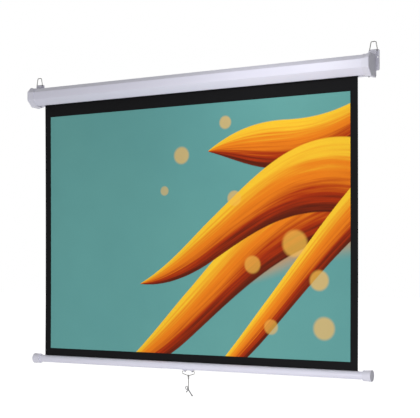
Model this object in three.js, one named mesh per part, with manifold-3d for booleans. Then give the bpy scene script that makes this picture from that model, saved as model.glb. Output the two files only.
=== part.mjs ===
// Wall projection screen: a spring roller in a six-sided metal case carries a cloth, and a round bottom bar
// with a wire handle pulls it down. A moulded cap with a wall plate and a wire hang loop closes each case end.
// Millimetres. +X runs along the case to the viewer's right, +Y points into the wall and +Z points up.
// The origin lies on the wall, midway between the two hang loops, at the height where the wall hooks bear.

import * as THREE from "three";
import { mergeVertices } from "three/addons/utils/BufferGeometryUtils.js";
import Module from "manifold-3d";

const wasm = await Module();
wasm.setup();

// Driving dimensions

const GAP = 0.3; // clearance between pieces that only touch
const RUNNING = 0.4; // radial clearance where one piece turns in another
const OVERRUN = 2; // how far a cutting shape runs past what it cuts
const MERGE = 1e-4; // vertices nearer than this are one

const CLOTH = {
  width: 1300,
  drop: 975, // what hangs between the case and the bar
  thickness: 0.35,
  topBorder: 46.5,
  bottomBorder: 28.5,
  sideBorder: 27,
  coat: 0.15, // thickness of the black masking coat
  spareTurns: 0.5, // thickness of the turns that stay on the roller
};

const CASE = {
  height: 66,
  depth: 64,
  wall: 1.4,
  topRise: 16,
  topRun: 17,
  lowerRise: 21.5,
  lowerRun: 24,
  slot: 14,
  lip: 4.5,
  endMargin: 54, // from the cloth's edge to the end of the case, cap included
};

const CAP = {
  over: 5, // how far the cap's end stands proud of the case all round
  neck: 1.8, // how far its collar does, where it slides over the case
  neckLength: 10,
  neckEdge: 0.4, // how far the collar's edge is rounded off
  flareLength: 11,
  length: 27,
  endWall: 4,
  corner: 6,
  bevel: 2.4,
  bossRadius: 4.5,
  bossLength: 8,
  bossReach: 14, // from the roller's axis to a boss
  screwInset: 5.5, // from the collar's edge to the screws through it
};

const WALL_PLATE = {
  rise: 18, // above the cap's top
  drop: 52, // below the cap's top
  outboard: 10.7,
  thickness: 4,
  corner: 5,
  holeRadius: 2.6,
  holeDrop: 8,
};

const KNUCKLE = { radius: 4.2, length: 22, standoff: 6.5 };

const LOOP = {
  wireRadius: 1.5,
  height: 30,
  width: 28.4, // between the legs' centre lines at the feet
  topWidth: 17,
  footDepth: 8,
  footBend: 2.6,
  topBend: 4.8,
};

const ROLLER = {
  radius: 15.5,
  wall: 1,
  fromFront: 22.5, // from the case's front face to the axis
  overhang: 6, // past the cloth's edge at each end
};

const PLUG = { flange: 3, idlerLength: 22, ratchetLength: 30, anchorLength: 20, lipRadius: 12, recess: 6 };

const SHAFT = {
  radius: 4,
  chamfer: 0.8,
  tangHeight: 7,
  tangWidth: 3,
  tangReach: 5,
  springCollar: 10.5,
  collarLength: 5,
};

const PLATE = { halfWidth: 12, halfHeight: 20, thickness: 2 };

const BUSH = { wall: 1.9, flange: 1.5, flangeOver: 2, length: 4.5 };

const RATCHET = {
  wheelRadius: 7.3,
  wheelThickness: 3.1,
  pivotRadius: 12,
  pawlLength: 9,
  pawlEye: 2.8,
  pawlNose: 1.5,
  pawlThickness: 3.2,
  pawlDepth: 1, // how far the nose's centre sinks below the rim
  clearance: 0.35, // between a locked pawl and its notch
  lift: 0.7, // between a lifted pawl's nose and the rim
};

const RIVET = { radius: 1.4, head: 2.6, headHeight: 1.1, depth: 6 };

const SCREW = { radius: 1.4, head: 3, headHeight: 1.9, length: 9 };

const SPRING = { radius: 8.2, wire: 1, turns: 24, pitch: 2.8 };

const BAR = {
  radius: 14,
  wall: 1.4,
  slot: 4,
  endMargin: 50, // from the cloth's edge to the end of the bar, cap included
};

const BAR_CAP = {
  radius: 19.5,
  sleeveRadius: 18.6,
  sleeveEdge: 1.2, // how far the sleeve's first edge is rounded off
  length: 30,
  sleeveLength: 19,
  flareLength: 3,
  endWall: 3,
  rim: 1.4,
  dish: 1.2,
};

const HEM_ROD = { radius: 2.5 };

const SADDLE = {
  length: 46,
  thickness: 1.5,
  spread: 0.62, // half the angle that it takes round the bar, in radians
  earWidth: 7,
  earThickness: 2.5,
  earSpacing: 30,
  earDrop: 2.8,
  rivetSpacing: 14,
};

const HANDLE = { wireRadius: 1.5, width: 51, height: 17, footReach: 3 };

const CORD = { radius: 1.8, loopRadius: 3.6, loopWire: 1.4, knotRadius: 3.2, knotHeight: 7 };

const HOOK = {
  neck: 5.2, // from the cord's end down to where the two arms cross
  ringWidth: 8.4, // between the centre lines of the oval ring's sides
  ringHeight: 11.6,
  ringWire: 1.3,
  ringRise: 6.4, // from the crossing up to the ring's centre
  armRadius: 1.7,
  armOut: 15.5,
  armDrop: 20.5,
  spurRadius: 1.5,
  spurOut: 9,
  spurDrop: 9.5,
  barbRadius: 2.9,
};

// How finely round forms are divided
const ROUND_STEPS = 24;
const SMALL_STEPS = 12;
const WIRE_SIDES = 8;
const SPRING_SIDES = 6;
const LOOP_STEPS = 32;
const HANDLE_STEPS = 44;
const CORD_STEPS = 8;
const CORNER_STEPS = 3;
const SWEEP_STEPS = 4;

// Places that follow from the sizes

const loopTop = LOOP.height - LOOP.wireRadius;
const knuckleZ = -loopTop;
const capTop = knuckleZ + KNUCKLE.radius - WALL_PLATE.rise;
const caseTop = capTop - CAP.over;
const caseBottom = caseTop - CASE.height;
const caseBack = -CAP.over;
const caseFront = caseBack - CASE.depth;
const capEnd = CLOTH.width / 2 + CASE.endMargin;
const capStart = capEnd - CAP.length;
const capInner = capEnd - CAP.endWall;
const plateX = capInner - CAP.bossLength - PLATE.thickness;
const loopX = capStart + (CAP.length + WALL_PLATE.outboard) / 2;

const axisY = caseFront + ROLLER.fromFront;
const axisZ = caseTop - CASE.height / 2;
const wrapInner = ROLLER.radius + GAP;
const wrapOuter = wrapInner + CLOTH.spareTurns;
const clothRadius = wrapOuter + GAP + CLOTH.thickness / 2;
const clothY = axisY + clothRadius;
const rollerEnd = CLOTH.width / 2 + ROLLER.overhang;
const plugRadius = ROLLER.radius - ROLLER.wall - GAP;
const plugFace = rollerEnd + PLUG.flange;

const clothBottom = caseBottom - CLOTH.drop;
const barZ = clothBottom - BAR.radius;
const barEnd = CLOTH.width / 2 + BAR.endMargin;
const hemRodZ = BAR.radius - BAR.wall - HEM_ROD.radius - GAP;
const clothEndZ = barZ + hemRodZ + HEM_ROD.radius + GAP;

// Solids

function solidOf(geometry) {
  const bare = geometry.clone();
  bare.deleteAttribute("normal");
  bare.deleteAttribute("uv");
  const merged = mergeVertices(bare, MERGE);
  const vertProperties = merged.attributes.position.array;
  const triVerts = new Uint32Array(merged.index.array);
  return new wasm.Manifold(new wasm.Mesh({ numProp: 3, vertProperties, triVerts }));
}

function geometryOf(solid) {
  const mesh = solid.getMesh();
  const geometry = new THREE.BufferGeometry();
  geometry.setAttribute("position", new THREE.BufferAttribute(mesh.vertProperties, 3));
  geometry.setIndex(new THREE.BufferAttribute(mesh.triVerts, 1));
  const faceted = geometry.toNonIndexed();
  faceted.computeVertexNormals();
  return faceted;
}

function join(...geometries) {
  return geometryOf(geometries.map(solidOf).reduce((whole, next) => whole.add(next)));
}

function cut(geometry, ...tools) {
  return geometryOf(tools.map(solidOf).reduce((rest, tool) => rest.subtract(tool), solidOf(geometry)));
}

// Shapes drawn in the Y-Z plane run along X, and those drawn in the X-Z plane run along Y.

const ALONG_X = new THREE.Matrix4().makeBasis(
  new THREE.Vector3(0, 1, 0),
  new THREE.Vector3(0, 0, 1),
  new THREE.Vector3(1, 0, 0),
);
const ALONG_Y = new THREE.Matrix4().makeRotationX(Math.PI / 2);

function extrude(shape, depth, curveSegments, bevel = 0) {
  const geometry = new THREE.ExtrudeGeometry(shape, {
    depth: depth - 2 * bevel,
    curveSegments,
    bevelEnabled: bevel > 0,
    bevelThickness: bevel,
    bevelSize: bevel,
    bevelOffset: -bevel,
    bevelSegments: 2,
  });
  return geometry.translate(0, 0, bevel);
}

function extrudeAlongX(shape, from, to, curveSegments = CORNER_STEPS, bevel = 0) {
  return extrude(shape, to - from, curveSegments, bevel).applyMatrix4(ALONG_X).translate(from, 0, 0);
}

// The shape's Y becomes Z, and the plate lies between the two Y places.
function extrudeAlongY(shape, from, to, curveSegments = CORNER_STEPS) {
  return extrude(shape, to - from, curveSegments).applyMatrix4(ALONG_Y).translate(0, to, 0);
}

function revolveAboutX(profile, steps) {
  const points = profile.map(([radius, x]) => new THREE.Vector2(radius, x));
  return new THREE.LatheGeometry(points, steps).rotateZ(-Math.PI / 2);
}

function revolveAboutZ(profile, steps) {
  const points = profile.map(([radius, z]) => new THREE.Vector2(radius, z));
  return new THREE.LatheGeometry(points, steps).rotateX(Math.PI / 2);
}

function ringProfile(inner, outer, from, to) {
  return [
    [inner, from],
    [outer, from],
    [outer, to],
    [inner, to],
    [inner, from],
  ];
}

function rodProfile(radius, from, to, chamfer = 0) {
  return [
    [0, from],
    [radius - chamfer, from],
    [radius, from + chamfer],
    [radius, to - chamfer],
    [radius - chamfer, to],
    [0, to],
  ];
}

function rodAlongX(radius, from, to, y, z, steps = SMALL_STEPS) {
  return new THREE.CylinderGeometry(radius, radius, to - from, steps)
    .rotateZ(-Math.PI / 2)
    .translate((from + to) / 2, y, z);
}

function rodAlongY(radius, from, to, x, z, steps = SMALL_STEPS) {
  return new THREE.CylinderGeometry(radius, radius, to - from, steps).translate(x, (from + to) / 2, z);
}

function rodAlongZ(radius, from, to, x, y, steps = SMALL_STEPS) {
  return new THREE.CylinderGeometry(radius, radius, to - from, steps)
    .rotateX(Math.PI / 2)
    .translate(x, y, (from + to) / 2);
}

function block(lowX, highX, lowY, highY, lowZ, highZ) {
  return new THREE.BoxGeometry(highX - lowX, highY - lowY, highZ - lowZ).translate(
    (lowX + highX) / 2,
    (lowY + highY) / 2,
    (lowZ + highZ) / 2,
  );
}

// A solid through convex outlines that have equal numbers of points, each at its place along X.
function loftAlongX(sections) {
  const count = sections[0].outline.length;
  const positions = sections.flatMap(({ x, outline }) => outline.flatMap((point) => [x, point.x, point.y]));
  const last = (sections.length - 1) * count;
  const index = [];
  for (let start = 0; start < last; start += count) {
    for (let i = 0; i < count; i += 1) {
      const here = start + i;
      const beside = start + ((i + 1) % count);
      index.push(here, beside, beside + count, here, beside + count, here + count);
    }
  }
  for (let i = 1; i < count - 1; i += 1) {
    index.push(0, i + 1, i);
    index.push(last, last + i, last + i + 1);
  }
  const geometry = new THREE.BufferGeometry();
  geometry.setAttribute("position", new THREE.Float32BufferAttribute(positions, 3));
  geometry.setIndex(index);
  return geometry;
}

// Wire and cord follow a smooth line through a few points.
function wireAlong(points, radius, steps, sides = WIRE_SIDES) {
  const section = new THREE.Shape();
  section.absarc(0, 0, radius, 0, 2 * Math.PI);
  const extrudePath = new THREE.CatmullRomCurve3(points, false, "centripetal");
  return new THREE.ExtrudeGeometry(section, { steps, extrudePath, curveSegments: sides / 2 });
}

// Outlines

// The corners of a convex outline that runs anticlockwise, moved so that every side steps out by a distance.
function offsetOutline(outline, distance) {
  return outline.map((corner, i) => {
    const before = outline[(i + outline.length - 1) % outline.length];
    const after = outline[(i + 1) % outline.length];
    const sideIn = corner.clone().sub(before).normalize();
    const sideOut = after.clone().sub(corner).normalize();
    const normalIn = new THREE.Vector2(sideIn.y, -sideIn.x);
    const normalOut = new THREE.Vector2(sideOut.y, -sideOut.x);
    const reach = distance / (1 + normalIn.dot(normalOut));
    return corner.clone().addScaledVector(normalIn, reach).addScaledVector(normalOut, reach);
  });
}

// An outline with every corner rounded; a radius is limited by the sides that it runs into.
function roundedShape(outline, radius) {
  const shape = new THREE.Shape();
  outline.forEach((corner, i) => {
    const before = outline[(i + outline.length - 1) % outline.length].clone().sub(corner);
    const after = outline[(i + 1) % outline.length].clone().sub(corner);
    const turn = Math.acos(before.dot(after) / before.length() / after.length());
    const setback = Math.min(radius / Math.tan(turn / 2), before.length() / 2, after.length() / 2);
    const start = corner.clone().addScaledVector(before.normalize(), setback);
    const end = corner.clone().addScaledVector(after.normalize(), setback);
    if (i === 0) shape.moveTo(start.x, start.y);
    else shape.lineTo(start.x, start.y);
    shape.quadraticCurveTo(corner.x, corner.y, end.x, end.y);
  });
  shape.closePath();
  return shape;
}

function rectangle(lowX, highX, lowY, highY) {
  return [
    new THREE.Vector2(lowX, lowY),
    new THREE.Vector2(highX, lowY),
    new THREE.Vector2(highX, highY),
    new THREE.Vector2(lowX, highY),
  ];
}

// Two circles joined by their outer tangents: the form of a lever, or of a slot when both are alike.
function linkShape(start, startRadius, end, endRadius) {
  const along = end.clone().sub(start);
  const heading = along.angle();
  const lean = Math.acos((startRadius - endRadius) / along.length());
  const shape = new THREE.Shape();
  shape.absarc(start.x, start.y, startRadius, heading + lean, heading - lean + 2 * Math.PI, false);
  shape.absarc(end.x, end.y, endRadius, heading - lean, heading + lean, false);
  shape.closePath();
  return shape;
}

function circleHole(shape, radius, x = 0, y = 0) {
  const hole = new THREE.Path();
  hole.absarc(x, y, radius, 0, 2 * Math.PI, true);
  shape.holes.push(hole);
}

// The case's six corners in the Y-Z plane, from the lower rear one upwards.
const caseOutline = [
  new THREE.Vector2(caseBack, caseBottom),
  new THREE.Vector2(caseBack, caseTop),
  new THREE.Vector2(caseFront + CASE.topRun, caseTop),
  new THREE.Vector2(caseFront, caseTop - CASE.topRise),
  new THREE.Vector2(caseFront, caseBottom + CASE.lowerRise),
  new THREE.Vector2(caseFront + CASE.lowerRun, caseBottom),
];

// Where the screws through each cap's collar sit
const capScrewX = capStart + CAP.screwInset;
const topScrewZ = caseTop + CAP.neck;
const bottomScrewZ = caseBottom - CAP.neck;
const topScrewY = (caseFront + CASE.topRun + caseBack) / 2;
const bottomScrewY = (clothY + CASE.slot / 2 + caseBack) / 2;
const screwHole = SCREW.radius + GAP;

// Case

// One thin wall from lip to lip round the slot that the cloth leaves by.
function caseTubeGeometry() {
  const slotFront = clothY - CASE.slot / 2;
  const slotRear = clothY + CASE.slot / 2;
  const inner = offsetOutline(caseOutline, -CASE.wall);
  const floor = caseBottom + CASE.wall;
  const lipTop = caseBottom + CASE.lip;
  const profile = new THREE.Shape([
    new THREE.Vector2(slotRear, caseBottom),
    ...caseOutline,
    new THREE.Vector2(slotFront, caseBottom),
    new THREE.Vector2(slotFront, lipTop),
    new THREE.Vector2(slotFront - CASE.wall, lipTop),
    new THREE.Vector2(slotFront - CASE.wall, floor),
    ...inner.reverse(),
    new THREE.Vector2(slotRear + CASE.wall, floor),
    new THREE.Vector2(slotRear + CASE.wall, lipTop),
    new THREE.Vector2(slotRear, lipTop),
  ]);
  const end = capInner - GAP;
  const holes = [-capScrewX, capScrewX].flatMap((x) => [
    rodAlongZ(screwHole, caseTop - CASE.wall - OVERRUN, caseTop + OVERRUN, x, topScrewY),
    rodAlongZ(screwHole, caseBottom - OVERRUN, floor + OVERRUN, x, bottomScrewY),
  ]);
  return cut(extrudeAlongX(profile, -end, end), ...holes);
}

// The cap's outside: a collar that slides over the case, a flare and a rounded edge round the end face.
function capShellGeometry() {
  const flareEnd = CAP.neckLength + CAP.flareLength;
  const roundShare = 0.3;
  const places = [
    [0, CAP.neck - CAP.neckEdge],
    [CAP.neckEdge, CAP.neck],
    [CAP.neckLength, CAP.neck],
    [flareEnd, CAP.over],
    [CAP.length - CAP.bevel, CAP.over],
    [CAP.length - CAP.bevel * roundShare, CAP.over - CAP.bevel * roundShare],
    [CAP.length, CAP.over - CAP.bevel],
  ];
  const sections = places.map(([x, over]) => {
    const corner = CAP.corner - CAP.over + over;
    const outline = roundedShape(offsetOutline(caseOutline, over), corner).getPoints(CORNER_STEPS);
    return { x, outline: outline.slice(0, -1) };
  });
  return loftAlongX(sections);
}

// The right-hand cap, with X counted from the edge of its collar. The left-hand one is its mirror image.
function endCapGeometry() {
  const innerFace = CAP.length - CAP.endWall;
  const socket = extrudeAlongX(new THREE.Shape(offsetOutline(caseOutline, GAP)), -OVERRUN, innerFace);
  const plateEnd = CAP.length + WALL_PLATE.outboard;
  const plateOutline = rectangle(0, plateEnd, capTop - WALL_PLATE.drop, capTop + WALL_PLATE.rise);
  const wallPlate = extrudeAlongY(roundedShape(plateOutline, WALL_PLATE.corner), -WALL_PLATE.thickness, 0);
  const middle = plateEnd / 2;
  const knuckleStart = middle - KNUCKLE.length / 2;
  const knuckleEnd = middle + KNUCKLE.length / 2;
  const knuckle = rodAlongX(KNUCKLE.radius, knuckleStart, knuckleEnd, -KNUCKLE.standoff, knuckleZ);
  const lug = block(
    knuckleStart,
    Math.min(knuckleEnd, innerFace),
    -KNUCKLE.standoff - KNUCKLE.radius,
    -WALL_PLATE.thickness / 2,
    caseTop + CAP.neck / 2,
    knuckleZ,
  );
  const bosses = [-1, 1].map((way) =>
    rodAlongX(
      CAP.bossRadius,
      innerFace - CAP.bossLength,
      CAP.length - CAP.endWall / 2,
      axisY,
      axisZ + way * CAP.bossReach,
    ),
  );
  const body = join(cut(join(capShellGeometry(), wallPlate, knuckle, lug), socket), ...bosses);
  const pilots = [-1, 1].map((way) =>
    rodAlongX(
      screwHole,
      innerFace - CAP.bossLength - OVERRUN,
      innerFace,
      axisY,
      axisZ + way * CAP.bossReach,
    ),
  );
  const boreRadius = LOOP.wireRadius + RUNNING;
  return cut(
    body,
    ...pilots,
    rodAlongX(boreRadius, knuckleStart - OVERRUN, knuckleEnd + OVERRUN, -KNUCKLE.standoff, knuckleZ),
    rodAlongY(
      WALL_PLATE.holeRadius,
      -WALL_PLATE.thickness - OVERRUN,
      OVERRUN,
      CAP.length + WALL_PLATE.outboard / 2,
      capTop - WALL_PLATE.holeDrop,
    ),
    rodAlongZ(screwHole, caseTop - OVERRUN, topScrewZ + OVERRUN, CAP.screwInset, topScrewY),
    rodAlongZ(screwHole, bottomScrewZ - OVERRUN, caseBottom + OVERRUN, CAP.screwInset, bottomScrewY),
  );
}

// A wire loop that turns on its two feet, drawn about the axis through them.
function hangLoopGeometry() {
  const foot = LOOP.width / 2;
  const top = LOOP.topWidth / 2;
  const half = [
    [foot - LOOP.footDepth, 0],
    [foot - LOOP.footBend, 0],
    [foot, LOOP.footBend],
    [top + LOOP.topBend / 2, LOOP.height - LOOP.topBend],
    [top - LOOP.topBend / 2, LOOP.height],
    [0, LOOP.height],
  ];
  const left = half.map(([x, z]) => new THREE.Vector3(-x, 0, z));
  const right = half.slice(0, -1).map(([x, z]) => new THREE.Vector3(x, 0, z));
  return wireAlong([...left, ...right.reverse()], LOOP.wireRadius, LOOP_STEPS);
}

// A round-headed screw, with its head's flat at the origin and its shank running down.
function screwGeometry() {
  const shoulderShare = 0.55;
  return revolveAboutZ(
    [
      [0, -SCREW.length],
      [SCREW.radius / 2, -SCREW.length],
      [SCREW.radius, -SCREW.length + SCREW.radius],
      [SCREW.radius, 0],
      [SCREW.head, 0],
      [SCREW.head, SCREW.headHeight * shoulderShare],
      [SCREW.head * shoulderShare, SCREW.headHeight],
      [0, SCREW.headHeight],
    ],
    SMALL_STEPS,
  );
}

// A steel plate with round ends that carries one end of the roller on the cap's two bosses.
function bearingPlateGeometry(opening) {
  const reach = PLATE.halfHeight - PLATE.halfWidth;
  const top = new THREE.Vector2(0, reach);
  const bottom = new THREE.Vector2(0, -reach);
  const shape = linkShape(bottom, PLATE.halfWidth, top, PLATE.halfWidth);
  circleHole(shape, screwHole, 0, CAP.bossReach);
  circleHole(shape, screwHole, 0, -CAP.bossReach);
  return cut(extrudeAlongX(shape, 0, PLATE.thickness, SMALL_STEPS / 2), opening);
}

function bushOpening() {
  const radius = SHAFT.radius + RUNNING + BUSH.wall + GAP;
  return rodAlongX(radius, -OVERRUN, PLATE.thickness + OVERRUN, 0, 0, ROUND_STEPS);
}

function tangOpening() {
  const halfHeight = SHAFT.tangHeight / 2 + GAP;
  const halfWidth = SHAFT.tangWidth / 2 + GAP;
  return block(-OVERRUN, PLATE.thickness + OVERRUN, -halfWidth, halfWidth, -halfHeight, halfHeight);
}

// The bush's flange lies against the inner side of its plate.
function bushGeometry() {
  const bore = SHAFT.radius + RUNNING;
  const sleeve = bore + BUSH.wall;
  const flangeFace = -GAP;
  return revolveAboutX(
    [
      [bore, flangeFace - BUSH.flange],
      [sleeve + BUSH.flangeOver, flangeFace - BUSH.flange],
      [sleeve + BUSH.flangeOver, flangeFace],
      [sleeve, flangeFace],
      [sleeve, BUSH.length],
      [bore, BUSH.length],
      [bore, flangeFace - BUSH.flange],
    ],
    ROUND_STEPS,
  );
}

// Roller: everything is drawn about its axis, and the ends are counted from the middle of the cloth.

function rollerTubeGeometry() {
  const profile = ringProfile(ROLLER.radius - ROLLER.wall, ROLLER.radius, -rollerEnd, rollerEnd);
  return revolveAboutX(profile, ROUND_STEPS);
}

function spareTurnsGeometry() {
  return revolveAboutX(ringProfile(wrapInner, wrapOuter, -CLOTH.width / 2, CLOTH.width / 2), ROUND_STEPS);
}

// A stepped plug: a body inside the tube, a flange that covers the tube's end and a bore for the shaft.
function endPlugGeometry(length, bore) {
  const recessRadius = PLUG.lipRadius - RIVET.head;
  return revolveAboutX(
    [
      [bore, rollerEnd - length + PLUG.recess],
      [recessRadius, rollerEnd - length + PLUG.recess],
      [recessRadius + GAP, rollerEnd - length],
      [plugRadius, rollerEnd - length],
      [plugRadius, rollerEnd + GAP],
      [ROLLER.radius, rollerEnd + GAP],
      [ROLLER.radius, plugFace],
      [bore, plugFace],
      [bore, rollerEnd - length + PLUG.recess],
    ],
    ROUND_STEPS,
  );
}

const pawlPivots = [1, -1].map((way) => new THREE.Vector2(0, way * RATCHET.pivotRadius));

function ratchetPlugGeometry() {
  const holes = pawlPivots.map((pivot) =>
    rodAlongX(RIVET.radius + GAP, plugFace - RIVET.depth, plugFace + OVERRUN, pivot.x, pivot.y),
  );
  return cut(endPlugGeometry(PLUG.ratchetLength, SHAFT.radius + RUNNING), ...holes);
}

function idlerPlugGeometry() {
  return endPlugGeometry(PLUG.idlerLength, SHAFT.radius + GAP);
}

function idlerPinGeometry() {
  const start = rollerEnd - PLUG.idlerLength + PLUG.recess;
  const end = plateX + PLATE.thickness + SHAFT.tangReach;
  return revolveAboutX(rodProfile(SHAFT.radius, start, end, SHAFT.chamfer), ROUND_STEPS);
}

// The angle between the pawl's arm and the line to the roller's axis, for the nose's distance from that axis.
function pawlAngle(noseReach) {
  const pivot = RATCHET.pivotRadius;
  const arm = RATCHET.pawlLength;
  return Math.acos((pivot ** 2 + arm ** 2 - noseReach ** 2) / (2 * pivot * arm));
}

const pawlClear = pawlAngle(RATCHET.wheelRadius + RATCHET.pawlNose + RATCHET.lift);
const pawlLocked = pawlAngle(RATCHET.wheelRadius - RATCHET.pawlDepth);

function pawlNose(angle) {
  return new THREE.Vector2(-Math.sin(angle), -Math.cos(angle)).multiplyScalar(RATCHET.pawlLength);
}

// A lever drawn about its pivot, with its nose clear of the wheel.
function pawlGeometry() {
  const pivot = new THREE.Vector2(0, 0);
  const shape = linkShape(pivot, RATCHET.pawlEye, pawlNose(pawlClear), RATCHET.pawlNose);
  circleHole(shape, RIVET.radius + RATCHET.clearance);
  return extrudeAlongX(shape, 0, RATCHET.pawlThickness, SMALL_STEPS / 2);
}

function rivetGeometry(shank) {
  return revolveAboutX(
    [
      [0, -shank],
      [RIVET.radius, -shank],
      [RIVET.radius, 0],
      [RIVET.head, 0],
      [RIVET.head, RIVET.headHeight / 2],
      [RIVET.head / 2, RIVET.headHeight],
      [0, RIVET.headHeight],
    ],
    SMALL_STEPS,
  );
}

const wheelStart = plugFace + GAP;
const wheelEnd = wheelStart + RATCHET.wheelThickness;
const springCollarEnd = rollerEnd - PLUG.ratchetLength - GAP;
const springCollarStart = springCollarEnd - SHAFT.collarLength;
const springStub = 2 * SPRING.wire;
const springLength = SPRING.turns * SPRING.pitch + 2 * springStub;
const springEnd = springCollarStart - GAP;
const springStart = springEnd - springLength;
const anchorEnd = springStart - GAP;
const anchorStart = anchorEnd - PLUG.anchorLength;

// The room that a pawl sweeps through as it drops from clear of the wheel into its notch.
function notchGeometries(pivot) {
  const way = Math.sign(pivot.y);
  const places = Array.from({ length: SWEEP_STEPS + 1 }, (_, i) => i / SWEEP_STEPS);
  return places.map((share) => {
    const angle = THREE.MathUtils.lerp(pawlClear, pawlLocked, share);
    const nose = pawlNose(angle).multiplyScalar(way).add(pivot);
    const eyeRoom = RATCHET.pawlEye + RATCHET.clearance;
    const room = linkShape(pivot, eyeRoom, nose, RATCHET.pawlNose + RATCHET.clearance);
    return extrudeAlongX(room, wheelStart - GAP / 2, wheelEnd + GAP / 2, SMALL_STEPS / 2);
  });
}

// The shaft that stands still: a round arbor with the collar that holds the spring, the wheel whose two
// slanting notches catch the pawls, and the flat tang that keeps it from turning in its plate.
function ratchetShaftGeometry() {
  const shaftStart = anchorStart + PLUG.anchorLength / 2;
  const tangEnd = plateX + PLATE.thickness + SHAFT.tangReach;
  const arbor = revolveAboutX(
    [
      [0, shaftStart],
      [SHAFT.radius - SHAFT.chamfer, shaftStart],
      [SHAFT.radius, shaftStart + SHAFT.chamfer],
      [SHAFT.radius, springCollarStart],
      [SHAFT.springCollar, springCollarStart],
      [SHAFT.springCollar, springCollarEnd],
      [SHAFT.radius, springCollarEnd],
      [SHAFT.radius, wheelStart],
      [RATCHET.wheelRadius, wheelStart],
      [RATCHET.wheelRadius, wheelEnd],
      [SHAFT.radius, wheelEnd],
      [SHAFT.radius, wheelEnd + SHAFT.radius],
      [0, wheelEnd + SHAFT.radius],
    ],
    ROUND_STEPS,
  );
  const halfHeight = SHAFT.tangHeight / 2;
  const halfWidth = SHAFT.tangWidth / 2;
  const tang = block(wheelEnd, tangEnd, -halfWidth, halfWidth, -halfHeight, halfHeight);
  return cut(join(arbor, tang), ...pawlPivots.flatMap(notchGeometries));
}

// The plug that ties the spring's far end to the tube.
function springAnchorGeometry() {
  return revolveAboutX(
    ringProfile(SHAFT.radius + RUNNING, plugRadius, anchorStart, anchorEnd),
    ROUND_STEPS,
  );
}

// A torsion spring: straight ends, square to what they meet, and even turns between.
function springGeometry() {
  const stepsPerTurn = 8;
  const steps = SPRING.turns * stepsPerTurn;
  const points = [new THREE.Vector3(springStart, 0, SPRING.radius)];
  for (let i = 0; i <= steps; i += 1) {
    const angle = (2 * Math.PI * i) / stepsPerTurn;
    const x = springStart + springStub + (SPRING.pitch * i) / stepsPerTurn;
    points.push(new THREE.Vector3(x, -SPRING.radius * Math.sin(angle), SPRING.radius * Math.cos(angle)));
  }
  points.push(points.at(-1).clone().setX(springEnd));
  const between = points.slice(1, -1);
  const nextTurn = between.slice(0, -stepsPerTurn).map((p, i) => p.distanceTo(between[i + stepsPerTurn]));
  const leastGap = Math.min(...nextTurn) - 2 * SPRING.wire;
  console.log(`spring: ${SPRING.turns} turns, least gap ${leastGap.toFixed(2)} mm`);
  return wireAlong(points, SPRING.wire, points.length - 1, SPRING_SIDES);
}

// Cloth

function clothGeometry() {
  const half = CLOTH.width / 2;
  const face = CLOTH.thickness / 2;
  return block(-half, half, clothY - face, clothY + face, clothEndZ, axisZ);
}

// The black coat round the picture area, on the front of the cloth.
function maskingGeometry() {
  const half = CLOTH.width / 2;
  const front = clothY - CLOTH.thickness / 2;
  const frame = new THREE.Shape(rectangle(-half, half, clothBottom, caseBottom));
  const opening = rectangle(
    -half + CLOTH.sideBorder,
    half - CLOTH.sideBorder,
    clothBottom + CLOTH.bottomBorder,
    caseBottom - CLOTH.topBorder,
  );
  frame.holes.push(new THREE.Path(opening.reverse()));
  return extrudeAlongY(frame, front - CLOTH.coat, front);
}

// Bottom bar: drawn about the bar's own centre line.

// A round tube with a slot along its top, where the cloth's hem goes in.
function barTubeGeometry() {
  const inner = BAR.radius - BAR.wall;
  const outerTurn = Math.asin(BAR.slot / 2 / BAR.radius);
  const innerTurn = Math.asin(BAR.slot / 2 / inner);
  const up = Math.PI / 2;
  const shape = new THREE.Shape();
  shape.absarc(0, 0, BAR.radius, up + outerTurn, up - outerTurn + 2 * Math.PI, false);
  shape.absarc(0, 0, inner, up - innerTurn + 2 * Math.PI, up + innerTurn, true);
  shape.closePath();
  const end = barEnd - BAR_CAP.endWall - GAP;
  const rivets = saddleRivetPlaces.map((x) =>
    rodAlongZ(RIVET.radius + GAP, -BAR.radius - OVERRUN, -inner + OVERRUN, x, 0),
  );
  return cut(extrudeAlongX(shape, -end, end, ROUND_STEPS / 2), ...rivets);
}

function hemRodGeometry() {
  const end = CLOTH.width / 2;
  return revolveAboutX(rodProfile(HEM_ROD.radius, -end, end), SMALL_STEPS);
}

// A push-on cap: a sleeve with a rounded edge, a slight flare and a shallow dish in its end face.
function barCapGeometry() {
  const inner = BAR.radius + GAP;
  const start = barEnd - BAR_CAP.length;
  const flareStart = start + BAR_CAP.sleeveLength;
  return revolveAboutX(
    [
      [inner, start],
      [BAR_CAP.sleeveRadius - BAR_CAP.sleeveEdge, start],
      [BAR_CAP.sleeveRadius, start + BAR_CAP.sleeveEdge],
      [BAR_CAP.sleeveRadius, flareStart],
      [BAR_CAP.radius, flareStart + BAR_CAP.flareLength],
      [BAR_CAP.radius, barEnd - BAR_CAP.rim],
      [BAR_CAP.radius - BAR_CAP.rim / 2, barEnd - BAR_CAP.rim / 4],
      [BAR_CAP.radius - BAR_CAP.rim, barEnd],
      [BAR_CAP.radius - 2 * BAR_CAP.rim, barEnd - BAR_CAP.dish],
      [0, barEnd - BAR_CAP.dish],
      [0, barEnd - BAR_CAP.endWall],
      [inner, barEnd - BAR_CAP.endWall],
      [inner, start],
    ],
    ROUND_STEPS,
  );
}

// Handle

const saddleInner = BAR.radius + GAP;
const saddleOuter = saddleInner + SADDLE.thickness;
const handleZ = -saddleOuter - SADDLE.earDrop;
const saddleRivetPlaces = [-SADDLE.rivetSpacing / 2, SADDLE.rivetSpacing / 2];

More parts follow.
